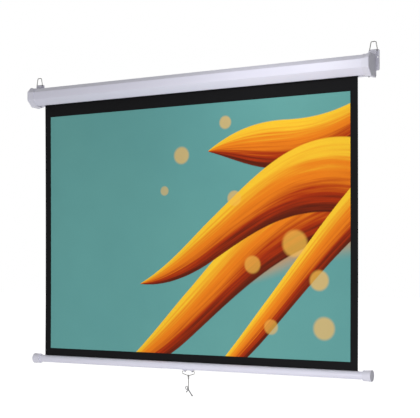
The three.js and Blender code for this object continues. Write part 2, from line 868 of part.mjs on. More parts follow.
// A curved strip under the bar with two ears that the handle's feet turn in.
function saddleGeometry() {
  const down = -Math.PI / 2;
  const strip = new THREE.Shape();
  strip.absarc(0, 0, saddleOuter, down - SADDLE.spread, down + SADDLE.spread, false);
  strip.absarc(0, 0, saddleInner, down + SADDLE.spread, down - SADDLE.spread, true);
  strip.closePath();
  const curved = extrudeAlongX(strip, -SADDLE.length / 2, SADDLE.length / 2, CORNER_STEPS);
  const top = new THREE.Vector2(0, -saddleOuter);
  const eye = new THREE.Vector2(0, handleZ);
  const earShape = linkShape(top, SADDLE.earWidth / 2, eye, SADDLE.earWidth / 2);
  const earStarts = [-1, 1].map((way) => (way * SADDLE.earSpacing - SADDLE.earThickness) / 2);
  const ears = earStarts.map((start) => extrudeAlongX(earShape, start, start + SADDLE.earThickness));
  const room = rodAlongX(saddleInner, -SADDLE.length, SADDLE.length, 0, 0, ROUND_STEPS * 2);
  const eyes = rodAlongX(HANDLE.wireRadius + RUNNING, -SADDLE.length, SADDLE.length, 0, handleZ);
  const rivets = saddleRivetPlaces.map((x) =>
    rodAlongZ(RIVET.radius + GAP, -saddleOuter - OVERRUN, -saddleInner + OVERRUN, x, 0),
  );
  return cut(join(curved, ...ears), room, eyes, ...rivets);
}

// The wire handle, drawn about its feet: out from the ears, round and down to a dip that holds the cord.
function handleGeometry() {
  const halfWidth = HANDLE.width / 2;
  const foot = (SADDLE.earSpacing - SADDLE.earThickness) / 2 - HANDLE.footReach;
  const outlineShares = [
    [0.88, 0],
    [0.99, -0.14],
    [1, -0.34],
    [0.93, -0.54],
    [0.62, -0.7],
    [0.33, -0.82],
    [0.12, -0.94],
    [0, -1],
  ];
  const half = outlineShares.map(([x, z]) => new THREE.Vector3(x * halfWidth, 0, z * HANDLE.height));
  const right = [new THREE.Vector3(foot, 0, 0), ...half];
  const left = right.slice(0, -1).map((p) => new THREE.Vector3(-p.x, p.y, p.z));
  return wireAlong([...right, ...left.reverse()], HANDLE.wireRadius, HANDLE_STEPS);
}

// Cord: drawn about the middle of the handle's dip, which it swings on.

const knotTop = -CORD.loopRadius - CORD.loopWire / 2;
const cordTop = knotTop - CORD.knotHeight;

// The route of the cord's free stretch, from its knot down to the hook.
const CORD_ROUTE = [
  [0, 0, 0],
  [0.2, 0, -6],
  [0.4, -0.2, -13],
  [0.3, -0.3, -20.5],
  [0, -0.2, -27],
  [-0.2, 0, -33],
];
const cordEnd = CORD_ROUTE.at(-1);

// The bight round the handle's wire and the knot that closes it.
function cordKnotGeometry() {
  const loop = new THREE.TorusGeometry(CORD.loopRadius, CORD.loopWire, WIRE_SIDES, SMALL_STEPS);
  loop.rotateY(Math.PI / 2);
  const waistShare = 0.72;
  const knot = revolveAboutZ(
    [
      [0, knotTop - CORD.knotHeight + GAP],
      [CORD.knotRadius * waistShare, knotTop - CORD.knotHeight + GAP],
      [CORD.knotRadius, knotTop - CORD.knotHeight * waistShare],
      [CORD.knotRadius * waistShare, knotTop - CORD.knotHeight / 2],
      [CORD.knotRadius, knotTop - CORD.knotHeight / 4],
      [CORD.knotRadius * waistShare, knotTop],
      [0, knotTop],
    ],
    SMALL_STEPS,
  );
  return join(loop, knot);
}

function cordGeometry() {
  const points = CORD_ROUTE.map(([x, y, z]) => new THREE.Vector3(x, y, z + cordTop));
  return wireAlong(points, CORD.radius, CORD_STEPS);
}

// The moulded end piece, drawn from the cord's end: one arm runs from an oval ring beside the cord to a blunt
// barb, and the other from the cord's end to a short spur on the ring's side.
function hookGeometry() {
  const ringX = -CORD.radius - GAP - HOOK.ringWire - HOOK.ringWidth / 2;
  const ringZ = HOOK.ringRise - HOOK.neck;
  const ring = new THREE.TorusGeometry(HOOK.ringWidth / 2, HOOK.ringWire, SPRING_SIDES, ROUND_STEPS);
  ring.scale(1, HOOK.ringHeight / HOOK.ringWidth, 1).rotateX(Math.PI / 2).translate(ringX, 0, ringZ);
  const place = (x, z) => new THREE.Vector3(x, 0, z);
  const crossing = place(0, -HOOK.neck);
  const barbPlace = place(HOOK.armOut, -HOOK.neck - HOOK.armDrop);
  const footShare = 0.7;
  const footX = ringX + (HOOK.ringWidth / 2) * footShare;
  const ringFoot = place(footX, ringZ - (HOOK.ringHeight / 2) * footShare);
  const arm = wireAlong([ringFoot, crossing, barbPlace], HOOK.armRadius, CORD_STEPS);
  const spurEnd = place(-HOOK.spurOut, -HOOK.neck - HOOK.spurDrop);
  const spur = wireAlong([place(0, -GAP), crossing, spurEnd], HOOK.spurRadius, CORD_STEPS);
  const barb = new THREE.SphereGeometry(HOOK.barbRadius, SMALL_STEPS, SPRING_SIDES);
  barb.rotateX(Math.PI / 2).translate(barbPlace.x, barbPlace.y, barbPlace.z);
  return join(arm, spur, ring, barb);
}

// Finishes

const FINISH = {
  caseWhite: new THREE.MeshStandardMaterial({ color: 0xe6e6f0, roughness: 0.38, metalness: 0.1 }),
  capPlastic: new THREE.MeshStandardMaterial({ color: 0xdcdce4, roughness: 0.5, metalness: 0 }),
  steel: new THREE.MeshStandardMaterial({ color: 0x9a9a96, roughness: 0.35, metalness: 0.9 }),
  rollerMetal: new THREE.MeshStandardMaterial({ color: 0xb8bac0, roughness: 0.4, metalness: 0.8 }),
  innerPlastic: new THREE.MeshStandardMaterial({ color: 0x3a3a40, roughness: 0.6, metalness: 0 }),
  nylon: new THREE.MeshStandardMaterial({ color: 0xf0ede2, roughness: 0.55, metalness: 0 }),
  clothWhite: new THREE.MeshStandardMaterial({ color: 0xf2f2f0, roughness: 0.9, metalness: 0 }),
  clothBlack: new THREE.MeshStandardMaterial({ color: 0x1d1d1f, roughness: 0.85, metalness: 0 }),
  cordGrey: new THREE.MeshStandardMaterial({ color: 0xc8c8c8, roughness: 0.85, metalness: 0 }),
  hookGrey: new THREE.MeshStandardMaterial({ color: 0xaeaeb0, roughness: 0.5, metalness: 0 }),
};

function piece(name, geometry, finish, x = 0, y = 0, z = 0) {
  const mesh = new THREE.Mesh(geometry, finish.clone());
  mesh.name = name;
  mesh.position.set(x, y, z);
  return mesh;
}

// Assembly

const SIDES = [
  ["left", -1],
  ["right", 1],
];

function caseAssembly() {
  const group = new THREE.Group();
  group.add(piece("case_tube", caseTubeGeometry(), FINISH.caseWhite));
  const capGeometry = endCapGeometry();
  for (const [name, side] of SIDES) {
    const cap = piece(`end_cap_${name}`, capGeometry, FINISH.capPlastic, side * capStart);
    cap.scale.x = side;
    group.add(cap);
    for (const [level, y, z, turn] of [
      ["top", topScrewY, topScrewZ, 0],
      ["bottom", bottomScrewY, bottomScrewZ, Math.PI],
    ]) {
      const place = [side * capScrewX, y, z];
      const capScrew = piece(`cap_screw_${name}_${level}`, screwGeometry(), FINISH.steel, ...place);
      capScrew.rotation.x = turn;
      group.add(capScrew);
    }
    const plateGeometry = bearingPlateGeometry(side < 0 ? bushOpening() : tangOpening());
    const plate = piece(`bearing_plate_${name}`, plateGeometry, FINISH.steel, side * plateX, axisY, axisZ);
    plate.scale.x = side;
    group.add(plate);
    for (const [level, way] of [
      ["upper", 1],
      ["lower", -1],
    ]) {
      const place = [side * plateX, axisY, axisZ + way * CAP.bossReach];
      const screw = piece(`plate_screw_${name}_${level}`, screwGeometry(), FINISH.steel, ...place);
      screw.rotation.y = (-side * Math.PI) / 2;
      group.add(screw);
    }
  }
  const bush = piece("idler_bush", bushGeometry(), FINISH.nylon, -plateX, axisY, axisZ);
  bush.scale.x = -1;
  group.add(bush, piece("ratchet_shaft", ratchetShaftGeometry(), FINISH.steel, 0, axisY, axisZ));
  return group;
}

function rollerAssembly() {
  const group = new THREE.Group();
  group.position.set(0, axisY, axisZ);
  const idlerPlug = piece("idler_plug", idlerPlugGeometry(), FINISH.innerPlastic);
  const idlerPin = piece("idler_pin", idlerPinGeometry(), FINISH.steel);
  idlerPlug.scale.x = -1;
  idlerPin.scale.x = -1;
  group.add(
    piece("roller_tube", rollerTubeGeometry(), FINISH.rollerMetal),
    piece("spare_turns", spareTurnsGeometry(), FINISH.clothWhite),
    idlerPlug,
    idlerPin,
    piece("ratchet_plug", ratchetPlugGeometry(), FINISH.innerPlastic),
    piece("spring_anchor", springAnchorGeometry(), FINISH.innerPlastic),
    piece("torsion_spring", springGeometry(), FINISH.steel),
  );
  pawlPivots.forEach((pivot, i) => {
    const name = ["a", "b"][i];
    const pawl = piece(`pawl_${name}`, pawlGeometry(), FINISH.steel, wheelStart, pivot.x, pivot.y);
    pawl.rotation.x = pivot.y > 0 ? 0 : Math.PI;
    const headFace = wheelStart + RATCHET.pawlThickness + GAP;
    const shank = headFace - plugFace + RIVET.depth - GAP;
    const rivet = piece(`pawl_rivet_${name}`, rivetGeometry(shank), FINISH.steel, headFace, pivot.x, pivot.y);
    group.add(pawl, rivet);
  });
  return group;
}

function barAssembly() {
  const group = new THREE.Group();
  group.position.set(0, clothY, barZ);
  group.add(
    piece("weight_bar", barTubeGeometry(), FINISH.caseWhite),
    piece("hem_rod", hemRodGeometry(), FINISH.nylon, 0, 0, hemRodZ),
    piece("handle_saddle", saddleGeometry(), FINISH.caseWhite),
  );
  for (const [name, side] of SIDES) {
    const cap = piece(`bar_cap_${name}`, barCapGeometry(), FINISH.capPlastic);
    cap.scale.x = side;
    group.add(cap);
  }
  saddleRivetPlaces.forEach((x, i) => {
    const shank = saddleOuter - (BAR.radius - BAR.wall) + GAP;
    const rivet = piece(`saddle_rivet_${["left", "right"][i]}`, rivetGeometry(shank), FINISH.steel, x, 0);
    rivet.position.z = -saddleOuter;
    rivet.rotation.y = Math.PI / 2;
    group.add(rivet);
  });
  const handle = new THREE.Group();
  handle.position.set(0, 0, handleZ);
  handle.add(piece("pull_handle", handleGeometry(), FINISH.steel));
  const cord = new THREE.Group();
  cord.position.set(0, 0, -HANDLE.height);
  cord.add(
    piece("cord_knot", cordKnotGeometry(), FINISH.cordGrey),
    piece("pull_cord", cordGeometry(), FINISH.cordGrey),
    piece("cord_hook", hookGeometry(), FINISH.hookGrey, cordEnd[0], cordEnd[1], cordEnd[2] + cordTop),
  );
  handle.add(cord);
  group.add(handle);
  return group;
}

const screen = new THREE.Group();
screen.add(
  caseAssembly(),
  rollerAssembly(),
  piece("screen_cloth", clothGeometry(), FINISH.clothWhite),
  piece("masking_border", maskingGeometry(), FINISH.clothBlack),
  barAssembly(),
);
for (const [name, side] of SIDES) {
  const place = [side * loopX, -KNUCKLE.standoff, knuckleZ];
  screen.add(piece(`hang_loop_${name}`, hangLoopGeometry(), FINISH.steel, ...place));
}

export default screen;
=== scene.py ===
# %% [markdown]
# A pull-down projection screen hangs on a wall by two wire loops. A six-sided metal case holds a spring
# roller, a coated cloth comes out of a slot under the case, and a round bar with a wire handle weighs it
# down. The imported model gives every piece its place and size. This lesson dresses it: finer shapes where the
# eye rests, and a finish made of nodes for each surface.

import math

import bmesh
import bpy
from mathutils import Matrix, Vector


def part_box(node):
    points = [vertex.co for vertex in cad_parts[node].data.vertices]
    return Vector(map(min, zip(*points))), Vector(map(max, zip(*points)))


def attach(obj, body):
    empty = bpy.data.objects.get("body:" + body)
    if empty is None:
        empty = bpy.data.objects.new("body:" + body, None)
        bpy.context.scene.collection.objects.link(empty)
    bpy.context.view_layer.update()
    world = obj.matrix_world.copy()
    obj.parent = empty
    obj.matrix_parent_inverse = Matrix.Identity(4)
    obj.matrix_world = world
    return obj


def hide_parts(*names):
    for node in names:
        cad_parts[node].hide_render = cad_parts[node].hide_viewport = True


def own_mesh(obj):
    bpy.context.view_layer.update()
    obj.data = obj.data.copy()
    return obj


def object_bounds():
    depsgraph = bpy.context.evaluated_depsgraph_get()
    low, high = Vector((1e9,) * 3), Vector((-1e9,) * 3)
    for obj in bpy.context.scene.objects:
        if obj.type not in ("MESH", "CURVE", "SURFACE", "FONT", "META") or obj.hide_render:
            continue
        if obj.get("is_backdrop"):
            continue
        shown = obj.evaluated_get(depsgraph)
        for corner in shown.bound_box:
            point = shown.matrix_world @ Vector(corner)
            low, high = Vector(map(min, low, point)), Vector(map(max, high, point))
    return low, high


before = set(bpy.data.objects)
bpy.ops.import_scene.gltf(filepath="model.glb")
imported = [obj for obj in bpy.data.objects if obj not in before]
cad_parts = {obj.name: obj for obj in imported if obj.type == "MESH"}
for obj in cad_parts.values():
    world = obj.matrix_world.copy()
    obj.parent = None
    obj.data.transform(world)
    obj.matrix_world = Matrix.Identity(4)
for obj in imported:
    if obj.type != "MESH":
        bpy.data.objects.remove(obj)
cad_low, cad_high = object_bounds()
MM = 0.001

# %% [markdown]
# The picture was taken from the right of the screen and from about two thirds of the way down, with the lens
# raised by its shift so that upright edges stay upright. A level camera with a vertical shift does the same.
# The numbers come from the slope of the cloth's upper and lower edges, which meet on the horizon.

# %% Camera
CAMERA_TURN = math.radians(29.23)
CAMERA_PLACE = Vector((1.908, -3.280, -0.744))
LENS, SENSOR = 89.4, 36.0
HORIZON_SHIFT = 0.138

camera_data = bpy.data.cameras.new("camera")
camera_data.lens = LENS
camera_data.sensor_width = SENSOR
camera_data.shift_y = HORIZON_SHIFT


def placed(name, data):
    """An object linked to the scene."""
    thing = bpy.data.objects.new(name, data)
    bpy.context.scene.collection.objects.link(thing)
    return thing


camera = placed("camera", camera_data)
camera.location = CAMERA_PLACE
camera.rotation_euler = (math.radians(90), 0, CAMERA_TURN)
bpy.context.scene.camera = camera
bpy.context.scene.view_settings.view_transform = "Standard"
print("camera at", [round(c, 3) for c in camera.location])

# %% [markdown]
# Each finish is a Principled shader fed by small groups of nodes. A group is made once and placed in each
# material with its own values, so a change to the dust or the grain reaches every surface that has it. The
# first helpers add a node and fill its inputs, with numbers or with other nodes' outputs, and do one step of
# arithmetic.


# %% Nodes and arithmetic
def fill(tree, node, inputs):
    """Joins or sets a node's inputs and gives the node back."""
    for key, value in inputs.items():
        if isinstance(value, bpy.types.NodeSocket):
            tree.links.new(value, node.inputs[key])
        else:
            node.inputs[key].default_value = value
    return node


def add(tree, kind, inputs=None, **settings):
    """Adds a node, sets it, fills its inputs and gives it back."""
    node = tree.nodes.new(kind)
    for name, value in settings.items():
        setattr(node, name, value)
    return fill(tree, node, inputs or {})


def calc(tree, operation, *values, clamp=False):
    """One step of arithmetic. Gives its output."""
    numbered = dict(enumerate(values))
    return add(tree, "ShaderNodeMath", numbered, operation=operation, use_clamp=clamp).outputs[0]


print("helpers made: fill, add, calc")

# %% [markdown]
# Few marks on a real surface end at a sharp line. A value that crosses a limit is therefore eased over a
# range, and the result is the share by which two colours are mixed.


# %% Easing and blending
def eased(tree, value, low, high):
    """A value taken from 0 to 1 as it goes from low to high, without a hard corner."""
    inputs = {"Value": value, "From Min": low, "From Max": high}
    return add(tree, "ShaderNodeMapRange", inputs, interpolation_type="SMOOTHSTEP").outputs[0]


def blended(tree, share, first, second):
    """Two colours mixed. Gives the colour."""
    inputs = {"Factor": share, 6: first, 7: second}
    return add(tree, "ShaderNodeMix", inputs, data_type="RGBA").outputs[2]


def scaled(tree, vector, scale):
    """A colour or a place multiplied by one value."""
    return add(tree, "ShaderNodeVectorMath", {0: vector, "Scale": scale}, operation="SCALE").outputs[0]


print("helpers made: eased, blended, scaled")

# %% [markdown]
# A group is a small tree with named inputs and outputs. It could be drawn by hand in each material, but
# placed by name it stays the same everywhere and only its values differ.


# %% Groups
SOCKET_KINDS = {"value": "NodeSocketFloat", "vector": "NodeSocketVector"}


def new_group(name, inputs, outputs):
    """A node group with named inputs, given as (name, kind, value), and named outputs."""
    group = bpy.data.node_groups.new(name, "ShaderNodeTree")
    for label, kind, value in inputs:
        socket = group.interface.new_socket(name=label, in_out="INPUT", socket_type=SOCKET_KINDS[kind])
        if value is not None:
            socket.default_value = value
    for label, kind in outputs:
        group.interface.new_socket(name=label, in_out="OUTPUT", socket_type=SOCKET_KINDS[kind])
    return group, group.nodes.new("NodeGroupInput"), group.nodes.new("NodeGroupOutput")


def use(tree, group, **inputs):
    """A group placed in a tree. Underscores in the input names stand for spaces."""
    named = {name.replace("_", " "): value for name, value in inputs.items()}
    return add(tree, "ShaderNodeGroup", named, node_tree=group)


print("helpers made: new_group, use")

# %% [markdown]
# Colours are written as they look on a screen, from 0 to 255, and turned into the linear light that a shader
# takes. Every finish starts as one Principled shader. Fine relief is a bump, because real grain of a few
# hundredths of a millimetre would cost millions of faces.


# %% Colours and materials
def colour(red, green, blue):
    """A screen colour from 0 to 255 as the linear colour that a shader takes."""
    def linear(level):
        share = level / 255
        return share / 12.92 if share <= 0.04045 else ((share + 0.055) / 1.055) ** 2.4

    return (linear(red), linear(green), linear(blue), 1.0)


def lit(tone, factor):
    """A linear colour made lighter or darker."""
    return tuple(min(1.0, level * factor) for level in tone[:3]) + (1.0,)


def new_material(name, metallic=0.0, roughness=0.5, specular=0.5):
    """A material with one Principled shader, ready for its nodes."""
    material = bpy.data.materials.new(name)
    material.use_nodes = True
    shader = material.node_tree.nodes["Principled BSDF"]
    start = {"Metallic": metallic, "Roughness": roughness, "Specular IOR Level": specular}
    return material, material.node_tree, fill(material.node_tree, shader, start)


def embossed(tree, height, distance, strength):
    """The normal of a fine relief."""
    relief = {"Height": height, "Distance": distance, "Strength": strength}
    return add(tree, "ShaderNodeBump", relief).outputs[0]


print("middle grey is", round(colour(128, 128, 128)[0], 3), "of full light")

# %% [markdown]
# Nothing made by moulding, rolling or spraying is perfectly even. The speckle group gives a slow cloudiness,
# for colour, and a fine pebble, for gloss and relief, from two sizes of noise in the object's own metres.

# %% Speckle group
speckle, source, result = new_group(
    "speckle",
    [("Cloud size", "value", 0.08), ("Grain size", "value", 0.0008), ("Stretch", "vector", (1, 1, 1))],
    [("Cloud", "value"), ("Grain", "value")],
)
place = add(speckle, "ShaderNodeTexCoord").outputs["Object"]
multiplied = {0: place, 1: source.outputs["Stretch"]}
place = add(speckle, "ShaderNodeVectorMath", multiplied, operation="MULTIPLY").outputs[0]
for label, detail in (("Cloud", 3.0), ("Grain", 2.0)):
    scale = calc(speckle, "DIVIDE", 1.0, source.outputs[label + " size"])
    patches = add(speckle, "ShaderNodeTexNoise", {"Vector": place, "Scale": scale, "Detail": detail})
    fill(speckle, result, {label: patches.outputs[0]})
print("speckle group has", len(speckle.nodes), "nodes")

# %% [markdown]
# Dust settles on what faces up, and more of it stays in some places than in others. The mask grows with the
# upward part of the surface normal and is broken up by noise.

# %% Settled dust group
DUSTY_TILT = (0.35, 1.0)
DUSTY_PATCHES = (0.3, 0.75)
dust, source, result = new_group(
    "settled_dust", [("Amount", "value", 0.5), ("Patch size", "value", 0.03)], [("Mask", "value")]
)
normal = add(dust, "ShaderNodeNewGeometry").outputs["Normal"]
upward = add(dust, "ShaderNodeSeparateXYZ", {0: normal}).outputs["Z"]
facing = eased(dust, upward, *DUSTY_TILT)
where = add(dust, "ShaderNodeTexCoord").outputs["Object"]
scale = calc(dust, "DIVIDE", 1.0, source.outputs["Patch size"])
patches = add(dust, "ShaderNodeTexNoise", {"Vector": where, "Scale": scale, "Detail": 6.0, "Roughness": 0.7})
broken = eased(dust, patches.outputs[0], *DUSTY_PATCHES)
mask = calc(dust, "MULTIPLY", calc(dust, "MULTIPLY", facing, broken), source.outputs["Amount"], clamp=True)
fill(dust, result, {"Mask": mask})
print("dust group has", len(dust.nodes), "nodes")

# %% [markdown]
# Corners get rubbed by hands and packing. Where the surface normal differs from a normal averaged over a
# small radius there is an edge, and noise leaves only parts of it worn.

# %% Rubbed edges group
EDGE_TURN = (0.01, 0.12)
WORN_PATCHES = (0.42, 0.62)
rub, source, result = new_group(
    "rubbed_edges", [("Radius", "value", 0.0012), ("Amount", "value", 1.0)], [("Mask", "value")]
)
true_normal = add(rub, "ShaderNodeNewGeometry").outputs["Normal"]
soft_normal = add(rub, "ShaderNodeBevel", {"Radius": source.outputs["Radius"]}, samples=4).outputs[0]
both = {0: true_normal, 1: soft_normal}
agreement = add(rub, "ShaderNodeVectorMath", both, operation="DOT_PRODUCT").outputs["Value"]
edge = eased(rub, calc(rub, "SUBTRACT", 1.0, agreement), *EDGE_TURN)
where = add(rub, "ShaderNodeTexCoord").outputs["Object"]
patches = add(rub, "ShaderNodeTexNoise", {"Vector": where, "Scale": 90.0, "Detail": 5.0, "Roughness": 0.65})
worn = calc(rub, "MULTIPLY", edge, eased(rub, patches.outputs[0], *WORN_PATCHES))
fill(rub, result, {"Mask": calc(rub, "MULTIPLY", worn, source.outputs["Amount"], clamp=True)})
print("rubbed edge group has", len(rub.nodes), "nodes")

# %% [markdown]
# The case and the bar are metal with a baked white enamel: glossy but not mirror-like, with the faint pebble
# of sprayed paint that is called orange peel. Dust greys the top, and the corners have gone a little warm and
# dull. Moulded plastic is built up in the same way, so one function makes both.


# %% Coated finishes
CLOUD_TONE = 0.03
CLOUD_DULLS, RUBBING_DULLS, DUST_DULLS = 0.12, 0.15, 0.3
GRAIN_STRENGTH = 0.35


def coated(name, tone, dust_tone, worn_tone, roughness, grain, relief, dust_amount, wear):
    """A painted or moulded finish with cloudy colour, fine relief, dust and rubbed edges."""
    material, tree, shader = new_material(name, roughness=roughness)
    spots = use(tree, speckle, Grain_size=grain)
    cloud = spots.outputs["Cloud"]
    fallen = use(tree, dust, Amount=dust_amount).outputs["Mask"]
    rubbed = use(tree, rub, Amount=wear).outputs["Mask"]
    base = blended(tree, cloud, lit(tone, 1 - CLOUD_TONE), lit(tone, 1 + CLOUD_TONE))
    base = blended(tree, rubbed, base, worn_tone)
    base = blended(tree, fallen, base, dust_tone)
    gloss = calc(tree, "MULTIPLY_ADD", cloud, CLOUD_DULLS, roughness - CLOUD_DULLS / 2)
    gloss = calc(tree, "MULTIPLY_ADD", rubbed, RUBBING_DULLS, gloss)
    gloss = calc(tree, "MULTIPLY_ADD", fallen, DUST_DULLS, gloss, clamp=True)
    normal = embossed(tree, spots.outputs["Grain"], relief, GRAIN_STRENGTH)
    fill(tree, shader, {"Base Color": base, "Roughness": gloss, "Normal": normal})
    return material


print("helper made: coated")

# %% [markdown]
# Five finishes come from it. The enamel is the glossiest. The caps are a white plastic of nearly the same
# tone with a finer grain, the hook is a grey one, and nylon and black plastic are for pieces inside.

# %% Enamel and plastics
enamel = coated(
    "white_enamel", colour(225, 224, 239), colour(196, 193, 190), colour(205, 203, 208),
    roughness=0.32, grain=0.0016, relief=0.00008, dust_amount=0.35, wear=0.5,
)
cap_plastic = coated(
    "cap_plastic", colour(222, 221, 234), colour(194, 190, 186), colour(236, 236, 242),
    roughness=0.46, grain=0.0007, relief=0.00007, dust_amount=0.35, wear=0.6,
)
hook_plastic = coated(
    "hook_plastic", colour(120, 120, 123), colour(138, 136, 133), colour(150, 150, 152),
    roughness=0.5, grain=0.0006, relief=0.00005, dust_amount=0.2, wear=0.5,
)
nylon = coated(
    "natural_nylon", colour(236, 232, 220), colour(190, 186, 178), colour(240, 238, 230),
    roughness=0.5, grain=0.0006, relief=0.00004, dust_amount=0.1, wear=0.2,
)
black_plastic = coated(
    "black_plastic", colour(58, 58, 62), colour(120, 118, 115), colour(92, 92, 95),
    roughness=0.5, grain=0.0006, relief=0.00006, dust_amount=0.15, wear=0.6,
)
print("coated finishes made")

# %% [markdown]
# Wire, screws and pressed plates are zinc-plated steel. Plating is bright where it was drawn smooth and dull
# in blotches, and turned parts have fine rings. The same speckle, stretched along one axis, gives drawn or
# turned marks.


# %% Steel
DULL_BLOTCHES = (0.42, 0.68)
RUBBED_BRIGHTER = 1.35
BLOTCH_DULLS, GRAIN_DULLS = 0.22, 0.12
MARK_STRENGTH = 0.3


def plated(name, tone, dull_tone, roughness, stretch, relief):
    """A metal finish with blotches of dull plating and fine tool marks."""
    material, tree, shader = new_material(name, metallic=1.0, roughness=roughness)
    spots = use(tree, speckle, Cloud_size=0.012, Grain_size=0.0006, Stretch=stretch)
    grain = spots.outputs["Grain"]
    blotch = eased(tree, spots.outputs["Cloud"], *DULL_BLOTCHES)
    rubbed = use(tree, rub, Radius=0.0006, Amount=0.7).outputs["Mask"]
    base = blended(tree, rubbed, blended(tree, blotch, tone, dull_tone), lit(tone, RUBBED_BRIGHTER))
    gloss = calc(tree, "MULTIPLY_ADD", blotch, BLOTCH_DULLS, roughness)
    gloss = calc(tree, "MULTIPLY_ADD", grain, GRAIN_DULLS, gloss, clamp=True)
    normal = embossed(tree, grain, relief, MARK_STRENGTH)
    fill(tree, shader, {"Base Color": base, "Roughness": gloss, "Normal": normal})
    return material


wire_zinc = plated("zinc_wire", colour(106, 106, 103), colour(84, 84, 82), 0.24, (1, 1, 0.25), 0.00003)
bright_wire = plated("bright_wire", colour(152, 152, 150), colour(130, 130, 127), 0.24, (1, 1, 0.25), 0.00002)
plate_zinc = plated("zinc_plate", colour(164, 162, 160), colour(128, 126, 124), 0.3, (0.3, 1, 1), 0.00003)
roller_zinc = plated("roller_zinc", colour(176, 178, 182), colour(140, 142, 146), 0.34, (0.1, 1, 1), 0.00003)
print("steel finishes made")

# %% [markdown]
# The cloth is a thin woven glass or polyester base with a matt coat. From close by the weave shows through
# the coat as a fine even texture. Two sets of waves at right angles make it, and their product is the height.

# %% Weave group
SLUB_SHARE = 0.75
weave, source, result = new_group(
    "weave",
    [("Place", "vector", None), ("Thread pitch", "value", 0.0011)],
    [("Height", "value"), ("Shade", "value")],
)
across = add(weave, "ShaderNodeSeparateXYZ", {0: source.outputs["Place"]})
turns = calc(weave, "DIVIDE", 2 * math.pi, source.outputs["Thread pitch"])
threads = [calc(weave, "SINE", calc(weave, "MULTIPLY", across.outputs[axis], turns)) for axis in (0, 1)]
crossed = calc(weave, "MULTIPLY", threads[0], threads[1])
height = calc(weave, "MULTIPLY_ADD", crossed, 0.5, 0.5)
slubs = add(weave, "ShaderNodeTexNoise", {"Vector": source.outputs["Place"], "Scale": 9.0, "Detail": 4.0})
thread_shade = calc(weave, "MULTIPLY", height, 1 - SLUB_SHARE)
shade = calc(weave, "MULTIPLY_ADD", slubs.outputs[0], SLUB_SHARE, thread_shade)
fill(weave, result, {"Height": height, "Shade": shade})
print("weave group has", len(weave.nodes), "nodes")

# %% [markdown]
# The picture on the cloth is a plain decoration: warm streaked ribbons that flow over a teal ground, with
# soft round lights. A ribbon is a band about a wavy line, and it opens from a point. How far a point of the
# cloth lies across the band gives its mask and its shade.

# %% Ribbon group
POINT_LENGTH = 0.34
PINCHES_PER_WAVE = 0.7
LEAST_HALF, LEAST_OPENING = 0.0001, 0.0005
ribbon, source, result = new_group(
    "ribbon",
    [("X", "value", 0.0), ("Y", "value", 0.0), ("Height", "value", 0.5), ("Slope", "value", 0.0),
     ("Swing", "value", 0.1), ("Waves", "value", 4.0), ("Phase", "value", 0.0), ("Half width", "value", 0.1),
     ("Pinch", "value", 0.4), ("Start", "value", 0.0), ("Softness", "value", 0.1)],
    [("Mask", "value"), ("Across", "value")],
)
sockets = source.outputs
angle = calc(ribbon, "MULTIPLY_ADD", sockets["X"], sockets["Waves"], sockets["Phase"])
line = calc(ribbon, "MULTIPLY_ADD", calc(ribbon, "SINE", angle), sockets["Swing"], sockets["Height"])
line = calc(ribbon, "MULTIPLY_ADD", sockets["X"], sockets["Slope"], line)
pinching = calc(ribbon, "COSINE", calc(ribbon, "MULTIPLY", angle, PINCHES_PER_WAVE))
narrowing = calc(ribbon, "MULTIPLY_ADD", pinching, sockets["Pinch"], 1.0)
opening = eased(ribbon, sockets["X"], sockets["Start"], calc(ribbon, "ADD", sockets["Start"], POINT_LENGTH))
widening = calc(ribbon, "MULTIPLY", narrowing, calc(ribbon, "SQRT", opening))
half = calc(ribbon, "MAXIMUM", calc(ribbon, "MULTIPLY", sockets["Half width"], widening), LEAST_HALF)
offset = calc(ribbon, "DIVIDE", calc(ribbon, "SUBTRACT", sockets["Y"], line), half)
inside = calc(ribbon, "SUBTRACT", 1.0, calc(ribbon, "ABSOLUTE", offset))
begun = calc(ribbon, "GREATER_THAN", opening, LEAST_OPENING)
mask = calc(ribbon, "MULTIPLY", begun, eased(ribbon, inside, 0.0, sockets["Softness"]))
fill(ribbon, result, {"Mask": mask, "Across": calc(ribbon, "MULTIPLY_ADD", offset, 0.5, 0.5, clamp=True)})
print("ribbon group has", len(ribbon.nodes), "nodes")

# %% [markdown]
# The lights are discs that fade towards their rims, as lights out of focus do. The distance from the disc's
# centre gives the mask.

# %% Soft disc group
disc, source, result = new_group(
    "soft_disc",
    [("X", "value", 0.0), ("Y", "value", 0.0), ("Centre X", "value", 0.5), ("Centre Y", "value", 0.5),
     ("Radius", "value", 0.1), ("Softness", "value", 0.1)],
    [("Mask", "value")],
)
sockets = source.outputs
sideways = calc(disc, "SUBTRACT", sockets["X"], sockets["Centre X"])
upwards = calc(disc, "SUBTRACT", sockets["Y"], sockets["Centre Y"])
squares = calc(disc, "MULTIPLY_ADD", sideways, sideways, calc(disc, "MULTIPLY", upwards, upwards))
distance = calc(disc, "SQRT", squares)
inside = calc(disc, "SUBTRACT", 1.0, calc(disc, "DIVIDE", distance, sockets["Radius"]))
fill(disc, result, {"Mask": eased(disc, inside, 0.0, sockets["Softness"])})
print("disc group has", len(disc.nodes), "nodes")

# %% [markdown]
# The front of the cloth holds the picture, and a black coat masks it all round. Both are painted from a map
# that carries each point's place on the flat cloth, so the paint moves with the cloth when it is drawn up.

# %% Picture area
CLOTH_WIDTH = 1.300
SIDE_BORDER = 27 * MM
TOP_BORDER = 46.5 * MM
BOTTOM_BORDER = 28.5 * MM
masking_low, masking_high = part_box("masking_border")
PICTURE_WIDTH = CLOTH_WIDTH - 2 * SIDE_BORDER
PICTURE_HEIGHT = masking_high.z - masking_low.z - TOP_BORDER - BOTTOM_BORDER
print(f"picture area {PICTURE_WIDTH:.3f} by {PICTURE_HEIGHT:.3f} m")

